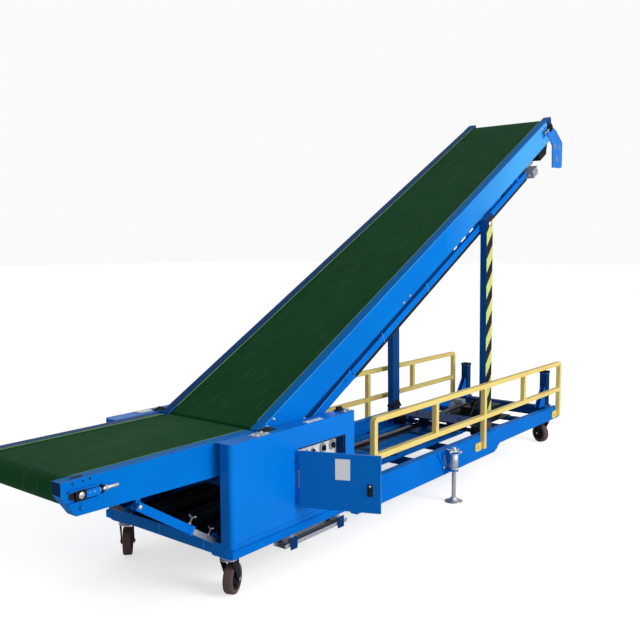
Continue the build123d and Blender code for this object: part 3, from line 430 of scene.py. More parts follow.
def coated(name, colour, tint, rubbed, roughness, rub=0.5, dust=0.05, grain=(500.0, 0.05), metal=0.0,
           shine=0.06, under=None):
    """Paint, plating or moulding: grain and clouds under rubbed edges and a film of dust."""
    colour, tint, rubbed = (shade(*values) for values in (colour, tint, rubbed))
    material, wires, shader = new_material(name)
    edges = wires.node("Group", {"Width": rubbed_width, "Amount": rub}, node_tree=edge_rub)
    surface = wires.node("Group", {
        "Colour": under(wires, colour) if under else colour,
        "Tint": under(wires, tint) if under else tint,
        "Cloud Size": paint_clouds, "Grain Size": grain[0], "Grain Depth": grain[1], "Roughness": roughness,
        "Normal": edges.outputs["Normal"],
    }, node_tree=surface_grain)
    worn = wires.blend(edges.outputs["Mask"], surface.outputs["Colour"], rubbed)
    film = wires.node("Group", {
        "Colour": worn, "Roughness": surface.outputs["Roughness"], "Dust": dust_colour, "Amount": dust,
    }, node_tree=settled_dust)
    wires.feed(shader, {
        "Base Color": film.outputs["Colour"], "Roughness": film.outputs["Roughness"],
        "Normal": surface.outputs["Normal"], "Metallic": metal, "Specular IOR Level": shine,
    })
    return material


def hazard_stripes(wires, colour):
    """Slanting pale and black bands on the outer faces of the legs, the paint's colour elsewhere."""
    off_middle = wires.sum("SUBTRACT", wires.coordinate("Y"), shift_y)
    outer = wires.sum("GREATER_THAN", wires.sum("MULTIPLY", wires.coordinate("Y", "Normal"), off_middle), 0.1)
    rise = wires.sum("MULTIPLY_ADD", wires.coordinate("X"), stripe_slant, wires.coordinate("Z"))
    band = wires.sum("GREATER_THAN", wires.sum("FRACT", wires.sum("MULTIPLY", rise, 1 / stripe_pitch)), 0.5)
    stripes = wires.blend(band, shade(24, 28, 40), shade(205, 215, 120))
    return wires.blend(outer, colour, stripes)


def painted_front_shade(wires, colour):
    """Painted shade: darker paint on the folds and faces that look toward the infeed, since those faces stand
    in shade.
    """
    fold = wires.stretch(wires.coordinate("X", "Normal"), -0.6, -0.95)
    return wires.blend(fold, colour, shade(0, 104, 190))


def painted_flange_shade_and_glare(wires, colour):
    """Painted shade on the flanges that look up, deeper on the far side, and on the front ends, and a painted
    glare that makes the paint paler toward the head.
    """
    facing = wires.node("VectorMath", {0: wires.place("Normal"), 1: upright}, operation="DOT_PRODUCT")
    flange = wires.sum("GREATER_THAN", facing.outputs["Value"], 0.8)
    far = wires.sum("GREATER_THAN", wires.coordinate("Y"), shift_y)
    painted_glare = wires.blend(wires.stretch(wires.coordinate("X"), *painted_glare_run), colour, shade(74, 168, 238))
    painted_flange_shade = wires.blend(far, shade(0, 110, 192), shade(20, 66, 124))
    painted_end_shade = wires.sum("LESS_THAN", wires.coordinate("X", "Normal"), -0.9)
    return wires.blend(painted_end_shade, wires.blend(flange, painted_glare, painted_flange_shade), shade(6, 44, 84))


def zinc_bloom(wires, colour):
    """The crystal pattern of hot zinc: each cell a little lighter or darker."""
    cells = wires.node("TexVoronoi", {"Vector": wires.place(), "Scale": 90.0})
    light = wires.node("SeparateXYZ", {0: cells.outputs["Color"]}).outputs["X"]
    return wires.blend(wires.stretch(light, -0.5, 1.6), colour, shade(215, 218, 222))


def woven_belt(name, colour, tint):
    """A rubbery belt with a fine woven face, light scuffs along its run and a matt sheen."""
    material, wires, shader = new_material(name)
    ahead, across = wires.coordinate("X"), wires.coordinate("Y")
    run = wires.node("CombineXYZ", {"X": wires.sum("MULTIPLY", ahead, 1.5),
                                    "Y": wires.sum("MULTIPLY", across, 14.0)}).outputs["Vector"]
    scuffs = wires.node("TexNoise", {"Vector": run, "Scale": 3.0, "Detail": 5.0}).outputs["Fac"]
    warp, weft = (wires.sum("SINE", wires.sum("MULTIPLY", place, belt_weave)) for place in (across, ahead))
    weave = wires.node("Bump", {"Strength": 0.25, "Distance": 0.0008,
                                "Height": wires.sum("MULTIPLY", warp, weft)})
    surface = wires.node("Group", {
        "Colour": colour, "Tint": tint, "Cloud Size": 2.2, "Grain Size": 260.0, "Grain Depth": 0.25,
        "Roughness": 0.72, "Normal": weave.outputs["Normal"],
    }, node_tree=surface_grain)
    scuffed = wires.blend(wires.sum("MULTIPLY", wires.stretch(scuffs, 0.55, 0.8), 0.35),
                          surface.outputs["Colour"], shade(70, 96, 72))
    wires.feed(shader, {"Base Color": scuffed, "Roughness": surface.outputs["Roughness"],
                        "Normal": surface.outputs["Normal"], "Specular IOR Level": 0.06})
    return material


rubbed_width = 0.0025
paint_clouds = 2.5
stripe_pitch = 0.19
stripe_slant = -1.2
# Where the painted glare on the incline starts and where it is full, in metres along X
painted_glare_run = (shift_x + 2.1, shift_x + 3.3)
belt_weave = 2 * math.pi / 0.004
bare = (150, 155, 160)
# Each finish: its colour, a second tint in the clouds, the colour where edges are rubbed, then its roughness
blue_frame = coated("blue_frame", (0, 120, 222), (0, 110, 208), (60, 120, 190), 0.45, dust=0.02, shine=0.02)
# blue_sheet paints shade on its folds and faces toward the infeed
blue_sheet = coated("blue_sheet", (0, 126, 228), (0, 118, 216), (70, 150, 225), 0.32, rub=0.35,
                    under=painted_front_shade)
# trough_blue paints shade on its flanges and front ends, and glare toward the head
trough_blue = coated("trough_blue", (0, 124, 222), (0, 114, 208), (110, 176, 236), 0.4, rub=0.7, shine=0.02,
                     dust=0.02, under=painted_flange_shade_and_glare)
# A pale blue that paints the highlight lines where light catches edges
painted_highlight_blue = coated("painted_highlight_blue", (60, 160, 240), (48, 148, 232), (120, 190, 244), 0.3)
dark_frame = coated("dark_frame", (5, 60, 120), (5, 50, 104), bare, 0.5, dust=0.02, shine=0.03)
leg_paint = coated("leg_paint", (6, 86, 162), (5, 76, 148), bare, 0.4, under=hazard_stripes)
yellow_rail = coated("yellow_rail", (240, 220, 134), (236, 206, 118), (200, 160, 96), 0.35, rub=0.6)
black_paint = coated("black_paint", (24, 26, 30), (32, 34, 38), bare, 0.5)
motor_grey = coated("motor_grey", (164, 170, 178), (146, 154, 162), (110, 114, 120), 0.45)
panel_white = coated("panel_white", (232, 234, 232), (222, 224, 222), (170, 172, 172), 0.4, rub=0.3)
bright_steel = coated("bright_steel", (176, 180, 184), (160, 164, 170), (225, 226, 228), 0.34, metal=0.85,
                      shine=0.5, under=zinc_bloom)
# The rods' chrome is darkened as a painted reflection of their dark surroundings
chrome_rod = coated("chrome_rod", (92, 84, 84), (70, 62, 60), (200, 200, 204), 0.22, grain=(900.0, 0.02),
                    metal=1.0, shine=0.5)
green_belt = woven_belt("green_belt", shade(15, 70, 34), shade(11, 62, 30))
belt_edge = coated("belt_edge", (108, 150, 96), (92, 136, 92), (140, 170, 120), 0.6, rub=0.3)
black_rubber = coated("black_rubber", (34, 34, 36), (44, 42, 42), (70, 68, 66), 0.75, grain=(220.0, 0.25))
wheel_tread = coated("wheel_tread", (108, 86, 84), (88, 70, 70), (140, 116, 112), 0.6, dust=0.2,
                     grain=(180.0, 0.25))
device_green = coated("device_green", (30, 140, 70), (24, 120, 60), (60, 160, 90), 0.3)
device_red = coated("device_red", (190, 34, 30), (170, 28, 26), (210, 80, 70), 0.3)

# Finishes of the CAD pieces that stay
finish_of = (
    (blue_frame, ("side_member_left", "side_member_right", "leg_tracks", "caster_plates", "jack_brackets",
                  "under_rails", "strut_outers", "door_hinges")),
    (blue_sheet, ("housing_left", "housing_right", "coupling_plates", "control_door")),
    (trough_blue, ("incline_frame", "infeed_frame")),
    (dark_frame, ("cross_members", "rest_posts", "knee_bearings", "foot_carriage")),
    (yellow_rail, ("guard_rail_left", "guard_rail_right")),
    (black_rubber, ("rest_pads",)),
    (black_paint, ("cylinder_barrels", "power_unit", "take_ups", "foot_rollers")),
    (motor_grey, ("drive_motor",)),
    (panel_white, ("control_panel",)),
    (bright_steel, ("step_tray", "incline_rollers", "infeed_rollers", "strut_inners",
                    "jack_foot_left", "jack_foot_right")),
    (chrome_rod, ("cylinder_rods",)),
    (green_belt, ("incline_belt", "infeed_belt")),
    (leg_paint, ("lift_legs",)),
)
for finish, names in finish_of:
    for name in names:
        nodes[name].data.materials.clear()
        nodes[name].data.materials.append(finish)


def wheel_frame(x, y, heading):
    """A caster's place on the floor, the way its trail points, and the direction across it."""
    turn = math.radians(heading)
    ahead = Vector((math.cos(turn), math.sin(turn), 0))
    return at(x, y, 0), ahead, Vector((ahead.y, -ahead.x, 0))


def make_caster(name, x, y, heading):
    """A wheel with its tread and iron core, and a pressed fork with its ball race."""
    foot, ahead, aside = wheel_frame(x, y, heading)
    hub = foot + (ahead * caster_trail + along_z * wheel_radius) / 1000
    wheel = Shape()
    wheel.turned(hub, aside, ((53, -22), (64, -24), (71, -23), (74, -20), (wheel_radius, -16),
                              (wheel_radius, 16), (74, 20), (71, 23), (64, 24), (53, 22)), 48)
    wheel.paint = 1
    wheel.turned(hub, aside, ((53, 22), (53, 20), (47, 19), (43, 9), (25, 8), (20, 22), (17, 25), (8.2, 25),
                              (8.2, -25), (17, -25), (20, -22), (25, -8), (43, -9), (47, -19), (53, -20),
                              (53, -22)), 32)
    for i in range(5):
        spoke = math.radians(72 * i)
        out = ahead * math.cos(spoke) + along_z * math.sin(spoke)
        wheel.prism([hub + out * reach + aside * width for reach, width in (
            (0.021, 0.014), (0.046, 0.017), (0.046, -0.017), (0.021, -0.014))], out.cross(aside) * 0.006)
    wheel.done("caster_wheel_" + name, "wheel_" + name, wheel_tread, black_paint, replaces=("wheel_" + name,))
    fork = Shape()
    crown = foot + along_z * 0.1855
    fork.turned(crown, along_z, ((0, 0), (40, 0), (43, 2), (43, 5), (38, 8), (0, 8)), 36)
    fork.prism([crown + ahead * reach / 1000 + aside * across / 1000
                for reach, across in oblong(-26, 44, -35, 35)], along_z * 0.0075)
    fork.paint = 1
    turns = (math.radians(angle) for angle in range(0, -181, -20))
    eye = 17
    leg = [(-28, 187), (44, 187)]
    leg += [(caster_trail + eye * math.cos(turn), wheel_radius + eye * math.sin(turn)) for turn in turns]
    leg.append((18, 110))
    for side in both:
        face = foot + aside * side * 0.0305
        fork.prism([face + ahead * reach / 1000 + along_z * height / 1000 for reach, height in leg],
                   aside * side * 0.0045)
    fork.paint = 0
    fork.turned(hub - aside * 0.041, aside,
                ((0, 0), (9, 0), (9, 5), (6, 6), (6, 76), (9, 77), (9, 82), (0, 82)), 6, flat=True)
    fork.turned(foot + along_z * 0.1775, along_z, ((0, 0), (11, 0), (13, 2), (13, 8)), 6, flat=True)
    fork.done("caster_fork_" + name, "fork_" + name, bright_steel, black_paint, bevel=0.8, rings=1,
              replaces=("fork_" + name,))


def make_caster_pads():
    """Race cups and bolts over the casters."""
    pads = Shape()
    for _, x, y, _ in casters:
        pads.bolts([at(*spot, 212.5) for spot in four_round(x, y, 43, 43)], -along_z)
        pads.turned(at(x, y, 194), along_z, ((33, 0), (36, 1), (38, 5), (38, 13), (34, 18)), 36)
    pads.done("caster_bolts", "chassis", bright_steel, bevel=0.5, rings=1)


def make_jack_screw(name, side):
    """A jack's threaded screw on its dished foot, with the cross handle on top."""
    base = at(jack[0], side * jack[1], 0)
    screw = Shape()
    screw.turned(base, along_z, ((0, 0), (54, 0), (58, 2), (58, 6), (52, 9), (30, 13), (24, 18), (20, 28),
                                 (15, 32), (0, 32)), 40)
    thread = [(14, 0)]
    for turn in range(63):
        thread += [(12.6, 1 + turn * 5), (14, 3.5 + turn * 5)]
    thread += [(12, 318), (12, 327), (0, 327)]
    screw.turned(base + along_z * 0.032, along_z, thread, 20)
    screw.paint = 1
    screw.turned(base + along_z * 0.327, along_z, ((0, 0), (22, 0), (24, 2), (24, 12), (22, 14), (0, 14)), 24)
    for direction in (along_x, along_y):
        screw.turned(base + along_z * 0.334 - direction * 0.056, direction,
                     ((0, 0), (5.5, 0), (7, 1.5), (7, 110.5), (5.5, 112), (0, 112)), 14)
    screw.done("jack_screw_" + name, "jack_foot_" + name, bright_steel, bright_steel,
               replaces=("jack_foot_" + name,))


def make_jack_mounts():
    """Bolts and collars of the jacks, their sleeves with slanted arms, and the members' facings."""
    fixings = Shape()
    fixings.side_bolts(at, chassis_half + 8.3, [(jack[0] + a * 40, z) for a in both for z in (225, 300)])
    for side in both:
        fixings.turned(at(jack[0], side * jack[1], 205), -along_z, ((15, 0), (29, 0), (29, 3), (15, 3)), 24)
    fixings.done("jack_mount_bolts", "chassis", bright_steel, bevel=0.5, rings=1)
    sleeves = Shape()
    for side in both:
        middle = at(jack[0], side * jack[1], 0)
        sleeves.turned(middle, along_z, ((26.2, 215), (27.4, 216), (27.4, 317), (26.2, 318)))
        for low in (216, 309):
            sleeves.turned(middle, along_z, ((27, low), (29.5, low + 1), (29.5, low + 7), (27, low + 8)))
    for lean in both:
        sleeves.wall(at, chassis_half + 9.4, [(jack[0] + lean * along, z) for along, z in (
            (48, 306), (42, 306), (12, 216), (18, 216))], 8)
    sleeves.done("jack_sleeves", "chassis", bright_steel)
    facings = Shape()
    facings.wall(at, chassis_half + 0.2, ((2120, 173), (2650, 173), (2700, 196), (2700, 332), (2060, 332)), 3)
    facings.done("member_facings", "chassis", blue_frame, bevel=1.2)


def make_rail_clamps():
    """Tabs and bolts that hold the guard rails to the chassis, in front of the posts' feet."""
    clamps = Shape()
    face = chassis_half + 3.4
    tab = ((-98, 242), (-90, 234), (-17, 234), (-17, 292), (-90, 292), (-98, 284))
    for post in clamped_posts:
        clamps.wall(at, face, moved(tab, post), 7)
        clamps.side_bolts(at, face + 7, ((post - 62, 263),), 12)
    clamps.done("rail_clamps", "chassis", yellow_rail, bevel=1.5)


def make_housing_trim():
    """Folded creases and corner bolts of the housings, the plates and caps on their top ledges, and white
    bolted plates there that paint the ledges' highlight.
    """
    creases = Shape()
    for side in both:
        face = side * housing_half
        for low in (266, 284):
            creases.prism([at(34, face, low), at(966, face, low), at(966, face + side * 2.2, low + 1.5),
                           at(34, face + side * 2.2, low + 1.5)], along_z * 0.0035)
        for x, y in ((18, 468), (952, housing_half)):
            creases.turned(at(x, side * y, 300), along_y * side, ((0, 0), (3.5, 0), (3.5, 4), (0, 4)), 12)
    creases.done("housing_creases", "chassis", blue_sheet, bevel=0.8)
    plates = Shape()
    plates.lid(ledge_top, oblong(190, 280, 404, 462), 3.5, both)
    for side in both:
        plates.bolts([at(x, side * y, ledge_top + 3.5) for x, y in four_round(235, 433, 31, 17)], along_z, 6)
    for x in (896, 934):
        plates.lid(ledge_top, oblong(x - 14, x + 14, 430, 458), 5, both)
        plates.bolts([at(x, side * 444, ledge_top + 5) for side in both], along_z)
    plates.done("ledge_plates", "chassis", bright_steel, bevel=0.8)
    caps = Shape()
    for side in both:
        caps.turned(at(knee[0], side * 404, ledge_top), along_z,
                    ((0, 0), (24, 0), (22, 8), (12, 14), (8, 18), (0, 18)), 28)
        caps.block(at(knee[0], side * 404, ledge_top + 3), (42, 20, 3))
        caps.block(at(905, side * 400, ledge_top + 4), (30, 14, 3.5))
        caps.block(at(905, side * 400, ledge_top + 14), (18, 10, 8))
    caps.done("ledge_caps", "chassis", black_rubber, bevel=1.0)
    # Painted highlight: white plates where the ledge tops catch the light
    highlight_plates = Shape()
    highlight_plates.lid(ledge_top, oblong(560, 690, 430, 462), 3, both)
    for side in both:
        highlight_plates.bolts([at(x, side * 446, ledge_top + 3) for x in (575, 675)], along_z, 6)
    highlight_plates.done("ledge_highlight_plates", "chassis", panel_white, bevel=0.8)


def make_front_trim():
    """The front plate with its seams, the cheeks of the strut lugs, and the guards and cross tube inside."""
    plate = Shape()
    plate.front(5.8, ((-430, 222), (430, 222), (430, 276), (424, 282), (-424, 282), (-430, 276)), -3)
    plate.wall(at, 317, ((6, 226), (70, 226), (70, 262), (50, 306), (18, 306), (6, 290)), 5)
    plate.done("front_plate", "chassis", blue_sheet, bevel=1.0)
    seams = Shape()
    # The seams are drawn as pale lines in the painted highlight blue
    for y in (40, -280):
        seams.front(2.7, oblong(y - 2.5, y + 2.5, 232, 280), -1.2)
    seams.done("front_seams", "chassis", painted_highlight_blue, bevel=0.4, rings=1)
    cheeks = Shape()
    for side in both:
        cheeks.bolt(at(strut_low[0], side * 317, strut_low[1]), along_y * -side, 9, washer=False)
    cheeks.done("lug_cheek_bolts", "chassis", bright_steel, bevel=0.4, rings=1)
    guards = Shape()
    guards.lid(222, oblong(44, 998, -428, 428), 3)
    guards.wall(at, 428, oblong(44, 998, 225, 252), -3)
    guards.front(960, ((-428, 226), (-168, 226), (-168, 352), (168, 352), (168, 226), (428, 226), (428, 300),
                       (372, 380), (372, 488), (-372, 488), (-372, 380), (-428, 300)), 3)
    guards.done("inner_guards", "chassis", black_paint, bevel=0.8)
    tube = Shape()
    tube.wall(at, 430, ((200, 470), (240, 470), (244, 474), (244, 512), (240, 516), (200, 516), (196, 512),
                        (196, 474)), -860, right_only)
    tube.bolts([at(196, y, 493) for y in (-150, 60)], -along_x, 12)
    tube.done("inner_cross_tube", "chassis", dark_frame, bevel=1.0)


def make_edge_strips(body, place, height, start, end, up):
    """Strips beside a belt, along both edges of its bed."""
    strips = Shape()
    for side in both:
        strips.prism([place(along, side * y, height) for along, y in oblong(start, end, *strip_span)],
                     up * 0.0055)
    strips.done(body + "_edge_strips", body, belt_edge, bevel=0.8)


def make_incline_trim():
    """Joints, webs in painted shade, fronts and black painted-shadow strips of the under rails, the incline's
    painted highlight lines, and its bolts and gussets.
    """
    joints = Shape()
    joints.wall(on_incline, under_rail_y + 20.5, oblong(690, 792, -205, -153), 6)
    joints.side_bolts(on_incline, under_rail_y + 26.5, ((706, -168), (776, -168)))
    for side in both:
        joints.block(on_incline(1130, side * under_rail_y, -180), (20, 21.2, 21.2), incline_axes)
    joints.done("under_rail_joints", "incline", blue_frame, bevel=0.6)
    webs = Shape()
    # The webs sit in the recess under the wall and take the darker navy as painted shade
    for start, end in ((330, 2130), (2480, 2740), (2960, 3140), (3260, rail_end)):
        webs.wall(on_incline, 353, oblong(start, end, -114, -166), 3)
    webs.done("under_rail_webs", "incline", dark_frame, bevel=0.6)
    fronts = Shape()
    nose = ((330, -153), (756, -142), (756, -194), (740, -205), (330, -205))
    fronts.wall(on_incline, under_rail_face, nose, 3.5)
    for start, end in zip(rail_joints, rail_joints[1:] + (rail_end + 3,)):
        fronts.wall(on_incline, under_rail_face, oblong(start + 3, end - 3, -146, -190), 3)
    fronts.done("under_rail_fronts", "incline", blue_frame, bevel=0.8)
    # Painted shadow: black strips along the rails' undersides, where they lie in shade
    shadow_strips = Shape()
    shadow_outline = ((760, -189), (rail_end, -189), (rail_end, -213), (800, -213), (730, -204))
    shadow_strips.wall(on_incline, 356, shadow_outline, 6)
    shadow_strips.done("under_rail_shadow_strips", "incline", black_paint, bevel=0.6)
    # Painted highlight: thin pale lines along the flange edge, the rail nose and the rail joints
    highlight_lines = Shape()
    highlight_lines.wall(on_incline, bed_half + 0.1, oblong(60, 3990, 44.5, 50), 0.9)
    nose = ((332, -153.4), (756, -142.4), (756, -147), (332, -158))
    highlight_lines.wall(on_incline, under_rail_face + 3.6, nose, 0.9)
    for along in rail_joints:
        highlight_lines.wall(on_incline, under_rail_face, oblong(along - 3.2, along + 3.2, -134, -197), 4.9)
    highlight_lines.done("incline_highlight_lines", "incline", painted_highlight_blue, bevel=0.3, rings=1)
    fixings = Shape()
    fixings.side_bolts(on_incline, bed_half, ((1417, -100), (1496, -100)))
    fixings.side_bolts(on_incline, bed_half, four_round(3840, -28, 40, 56) + four_round(90, -30, 30, 60))
    fixings.done("incline_bolts", "incline", bright_steel, bevel=0.4, rings=1)
    gussets = Shape()
    for side in both:
        for along in range(500, 3900, 425):
            gussets.prism([on_incline(along, side * y, height) for y, height in (
                (bed_half - 5, -108), (330, -108), (bed_half - 5, -60))], uphill * 0.004)
    gussets.done("incline_gussets", "incline", blue_sheet, bevel=0.6)


def make_return_idlers():
    """Rollers under the belt's return run, on stub shafts in the side walls."""
    idlers = Shape()
    for along in (800, 1400, 2150, 2950):
        return_run = 5 - 84 * (along - nose_along) / (head_axle[0] - nose_along)
        for side in both:
            spot = on_incline(along, side * 300, return_run - 24)
            idlers.turned(spot, along_y * -side, ((0, 0), (20, 0), (22, 2), (22, 300)), 28)
            idlers.turned(spot, along_y * side, ((8, 0), (8, 61)), 12)
    idlers.done("return_idlers", "incline", bright_steel)


def make_head():
    """The head roller's flanged bearings, tension plates and screws, the head guard and the junction box."""
    along, height = head_axle
    bearings = Shape()
    bearings.wall(on_incline, bed_half, oval(along, height, 52, 38, 24), 8)
    bearings.side_turned(on_incline, bed_half + 8, (head_axle,),
                         ((32, 0), (31, 10), (26, 14), (12, 14), (12, 20), (0, 20)), 28)
    for side in both:
        for lug in (3815, 3855):
            bearings.block(on_incline(lug, side * (bed_half + 10), height), (5, 4, 17), incline_axes)
    bearings.done("head_bearings", "incline", black_paint, bevel=1.0)
    plates = Shape()
    plates.wall(on_incline, bed_half + 0.2, oblong(3790, 3878, 16, -48), 6)
    plates.done("tension_plates", "incline", blue_sheet, bevel=1.0)
    screws = Shape()
    screws.side_bolts(on_incline, bed_half + 8, ((along - 41, height), (along + 41, height)))
    for y in (bed_half + 11, -bed_half - 11):
        screws.pipe([on_incline(3808, y, height), on_incline(3886, y, height)], 5)
        for nut in (3812, 3872):
            screws.turned(on_incline(nut, y, height), uphill, ((0, 0), (9, 0), (9, 8), (0, 8)), 6, flat=True)
    screws.done("head_screws", "incline", bright_steel, bevel=0.3, rings=1)
    guard = Shape()
    guard.wall(on_incline, 332, ((3736, -116), (3736, -206), (3744, -214), (3870, -214), (3936, -134),
                                 (3936, -108), (3890, -116)), -664, right_only)
    for rivet in (3780, 3850):
        guard.turned(on_incline(rivet, -332, -152), -along_y, ((0, 0), (9, 0), (9, 4), (0, 4)), 16)
    guard.done("head_guard", "incline", black_paint, bevel=2.0)
    box = Shape()
    box.block(on_incline(3600, -300, -250), (46, 36, 30), incline_axes)
    box.block(on_incline(3600, -300, -217), (50, 40, 3), incline_axes)
    box.bolts([on_incline(3600 + a * 36, -336, -250) for a in both], -along_y, 7)
    box.turned(on_incline(3554, -300, -254), -uphill, ((0, 0), (14, 0), (14, 10), (11, 18), (0, 18)), 20)
    box.done("motor_junction_box", "incline", motor_grey, bevel=2.0)


def cooling_ribs(count, pitch, groove, ridge):
    """The part of a turned profile with a motor's ribs, from 12 mm along its axis on."""
    profile = []
    for i in range(count):
        start = 12 + i * pitch
        profile += [(groove, start), (ridge, start + 1), (ridge, start + 4), (groove, start + 5)]
    return profile


def make_drive():
    """The gear motor's ribs and fan cover, its terminal box, and the covers and bolts of the gear box."""
    along, height = motor_axis
    ribs = Shape()
    profile = [(40, 0), (61, 0), (61, 8)] + cooling_ribs(13, 10, 54, 63)
    profile += [(61, 146), (62, 150), (62, 188), (58, 196), (20, 199), (0, 199)]
    ribs.turned(on_incline(along, -120, height), along_y, profile, 40)
    ribs.block(on_incline(along + 62, -50, height), (24, 45, 34), incline_axes)
    ribs.block(on_incline(along + 88, -50, height), (3, 49, 38), incline_axes)
    ribs.paint = 1
    spots = four_round(-50, height, 40, 29)
    ribs.bolts([on_incline(along + 91, *spot) for spot in spots], uphill, 5, washer=False)
    ribs.done("drive_motor_ribs", "incline", motor_grey, bright_steel, bevel=0.8)
    covers = Shape()
    for side in both:
        covers.turned(on_incline(along, -200 + side * 70.2, -170), along_y * side,
                      ((0, 0), (44, 0), (42, 5), (20, 6), (18, 10), (0, 10)), 32)
    covers.bolts([on_incline(spot, -270.2, z) for spot, z in four_round(along, -170, 52, 42)], -along_y, 7)
    covers.block(on_incline(along, -200, -226.5), (30, 30, 3), incline_axes)
    covers.done("gear_box_covers", "incline", motor_grey, bevel=1.0)


def make_coupling_trim():
    """Rings round the holes of the coupling plates, and the plates on the incline's ends."""
    rings = Shape()
    spots = [(coupling_corner[0] + beyond, coupling_corner[1] - below) for beyond, below in coupling_holes]
    rings.side_turned(at, bed_half + 8.4, spots, ((9.5, 0), (16, 0), (16, 2), (9.5, 2)), 24)
    rings.done("coupling_rings", "incline", bright_steel, bevel=0.4, rings=1)
    caps = Shape()
    caps.wall(on_incline, bed_half + 0.2, ((3905, 50), (4003, 50), (3972, -60), (3920, -60)), 4)
    caps.done("incline_end_caps", "incline", dark_frame, bevel=0.8)


def slot_outline(start, end, middle, height):
    """A long round-ended slot, as (x, z) points."""
    turns = [(end, math.radians(a)) for a in range(-90, 91, 15)]
    turns += [(start, math.radians(a)) for a in range(90, 271, 15)]
    return [(x + height / 2 * math.cos(turn), middle + height / 2 * math.sin(turn)) for x, turn in turns]


def make_infeed_trim():
    """Slots and holes of the infeed's walls, and the guides, nuts and sleeves of its take-up screws."""
    openings = Shape()
    openings.wall(at, bed_half + 0.15, slot_outline(-757, -683, take_up_height, 30), 1.2)
    openings.side_turned(at, bed_half + 0.15, ((-752, 746), (-704, 747), (-671, 750)),
                         ((0, 0), (4.5, 0), (4.5, 1.2), (0, 1.2)), 14)
    openings.lid(760.1, oval(-715, 336, 30, 9, 18), 1.5, both)
    openings.done("infeed_openings", "infeed", black_rubber)
    guides = Shape()
    for height in (673, 721):
        guides.wall(at, bed_half + 0.2, oblong(-776, -640, height, height - 5), 14)
    tongue = ((-700, 712), (-640, 712), (-632, 704), (-632, 690), (-640, 682), (-700, 682))
    guides.wall(at, bed_half + 14.5, tongue, 4)
    guides.side_bolts(at, bed_half, ((-714, 642),), 11)
    guides.done("take_up_guides", "infeed", blue_sheet, bevel=0.8)
    nuts = Shape()
    for y in (bed_half + 7.3, -bed_half - 7.3):
        for x in (-690, -668, -640, -606):
            nuts.turned(at(x, y, take_up_height), along_x, ((0, 0), (12, 0), (12, 9), (0, 9)), 6, flat=True)
        nuts.turned(at(-620, y, take_up_height), along_x,
                    ((6.4, 0), (7.4, 0), (8, 1), (8, 76), (7.4, 77), (6.4, 77)), 24)
    nuts.side_turned(at, bed_half + 14.4, ((-722, take_up_height),),
                     ((0, 0), (14, 0), (14, 4), (9, 7), (0, 7)), 20)
    nuts.done("take_up_nuts", "infeed", bright_steel, bevel=0.4, rings=1)


def strut_frame(share, side):
    """A point of a strut at a share of the way down from its upper pin, and its three directions."""
    top, low = (at(x, side * strut_y, z) for x, z in (strut_top, strut_low))
    ahead = (low - top).normalized()
    return top + (low - top) * share, (ahead, along_y, Vector((-ahead.z, 0, ahead.x)))


def make_clamp_screw(shape, base, lift, profile, wings, radius):
    """A clamp screw that stands on a strut, with a bent wire as its wings."""
    shape.turned(base, lift, profile, 16)
    shape.pipe([base + along_y * across + lift * height for across, height in wings], radius)


def make_struts():
    """Pins, collars and clamp screws of the infeed's struts, and the marks on the inner tubes."""
    pins, collars, screws, lower = Shape(), Shape(), Shape(), Shape()
    for side in both:
        point, axes = strut_frame(0, side)
        for out in both:
            pins.turned(point + along_y * out * 0.0192, along_y * out,
                        ((0, 0), (11, 0), (11, 3), (7, 6), (0, 6)), 20)
        point, axes = strut_frame(0.62, side)
        for out in both:
            collars.block(point + axes[2] * out * 0.0205, (12, 19.5, 1.4), axes)
            collars.block(point + along_y * out * 0.0205, (12, 1.4, 21.5), axes)
        point, (_, _, lift) = strut_frame(0.6, side)
        make_clamp_screw(screws, point + lift * 0.0215, lift,
                         ((0, 0), (9, 0), (9, 6), (5, 7), (5, 34), (0, 34)),
                         ((-0.022, 0.042), (-0.01, 0.034), (0.01, 0.034), (0.022, 0.042)), 3.5)
        point, (_, _, lift) = strut_frame(0.86, side)
        make_clamp_screw(lower, point + lift * 0.013, lift,
                         ((0, 0), (8, 0), (8, 5), (4, 6), (4, 30), (0, 30)),
                         ((-0.018, 0.037), (0, 0.03), (0.018, 0.037)), 3)
        for share in (0.72, 0.77, 0.82, 0.91):
            lower.turned(strut_frame(share, side)[0] + along_y * side * 0.013, along_y * side,
                         ((0, 0), (4.5, 0), (4.5, 0.8), (0, 0.8)), 14)
    pins.done("strut_top_pins", "strut_outers", bright_steel)
    collars.done("strut_collars", "strut_outers", blue_frame, bevel=0.5, rings=1)
    screws.done("strut_wing_screws", "strut_outers", bright_steel)
    lower.done("strut_lower_screws", "strut_inners", bright_steel)


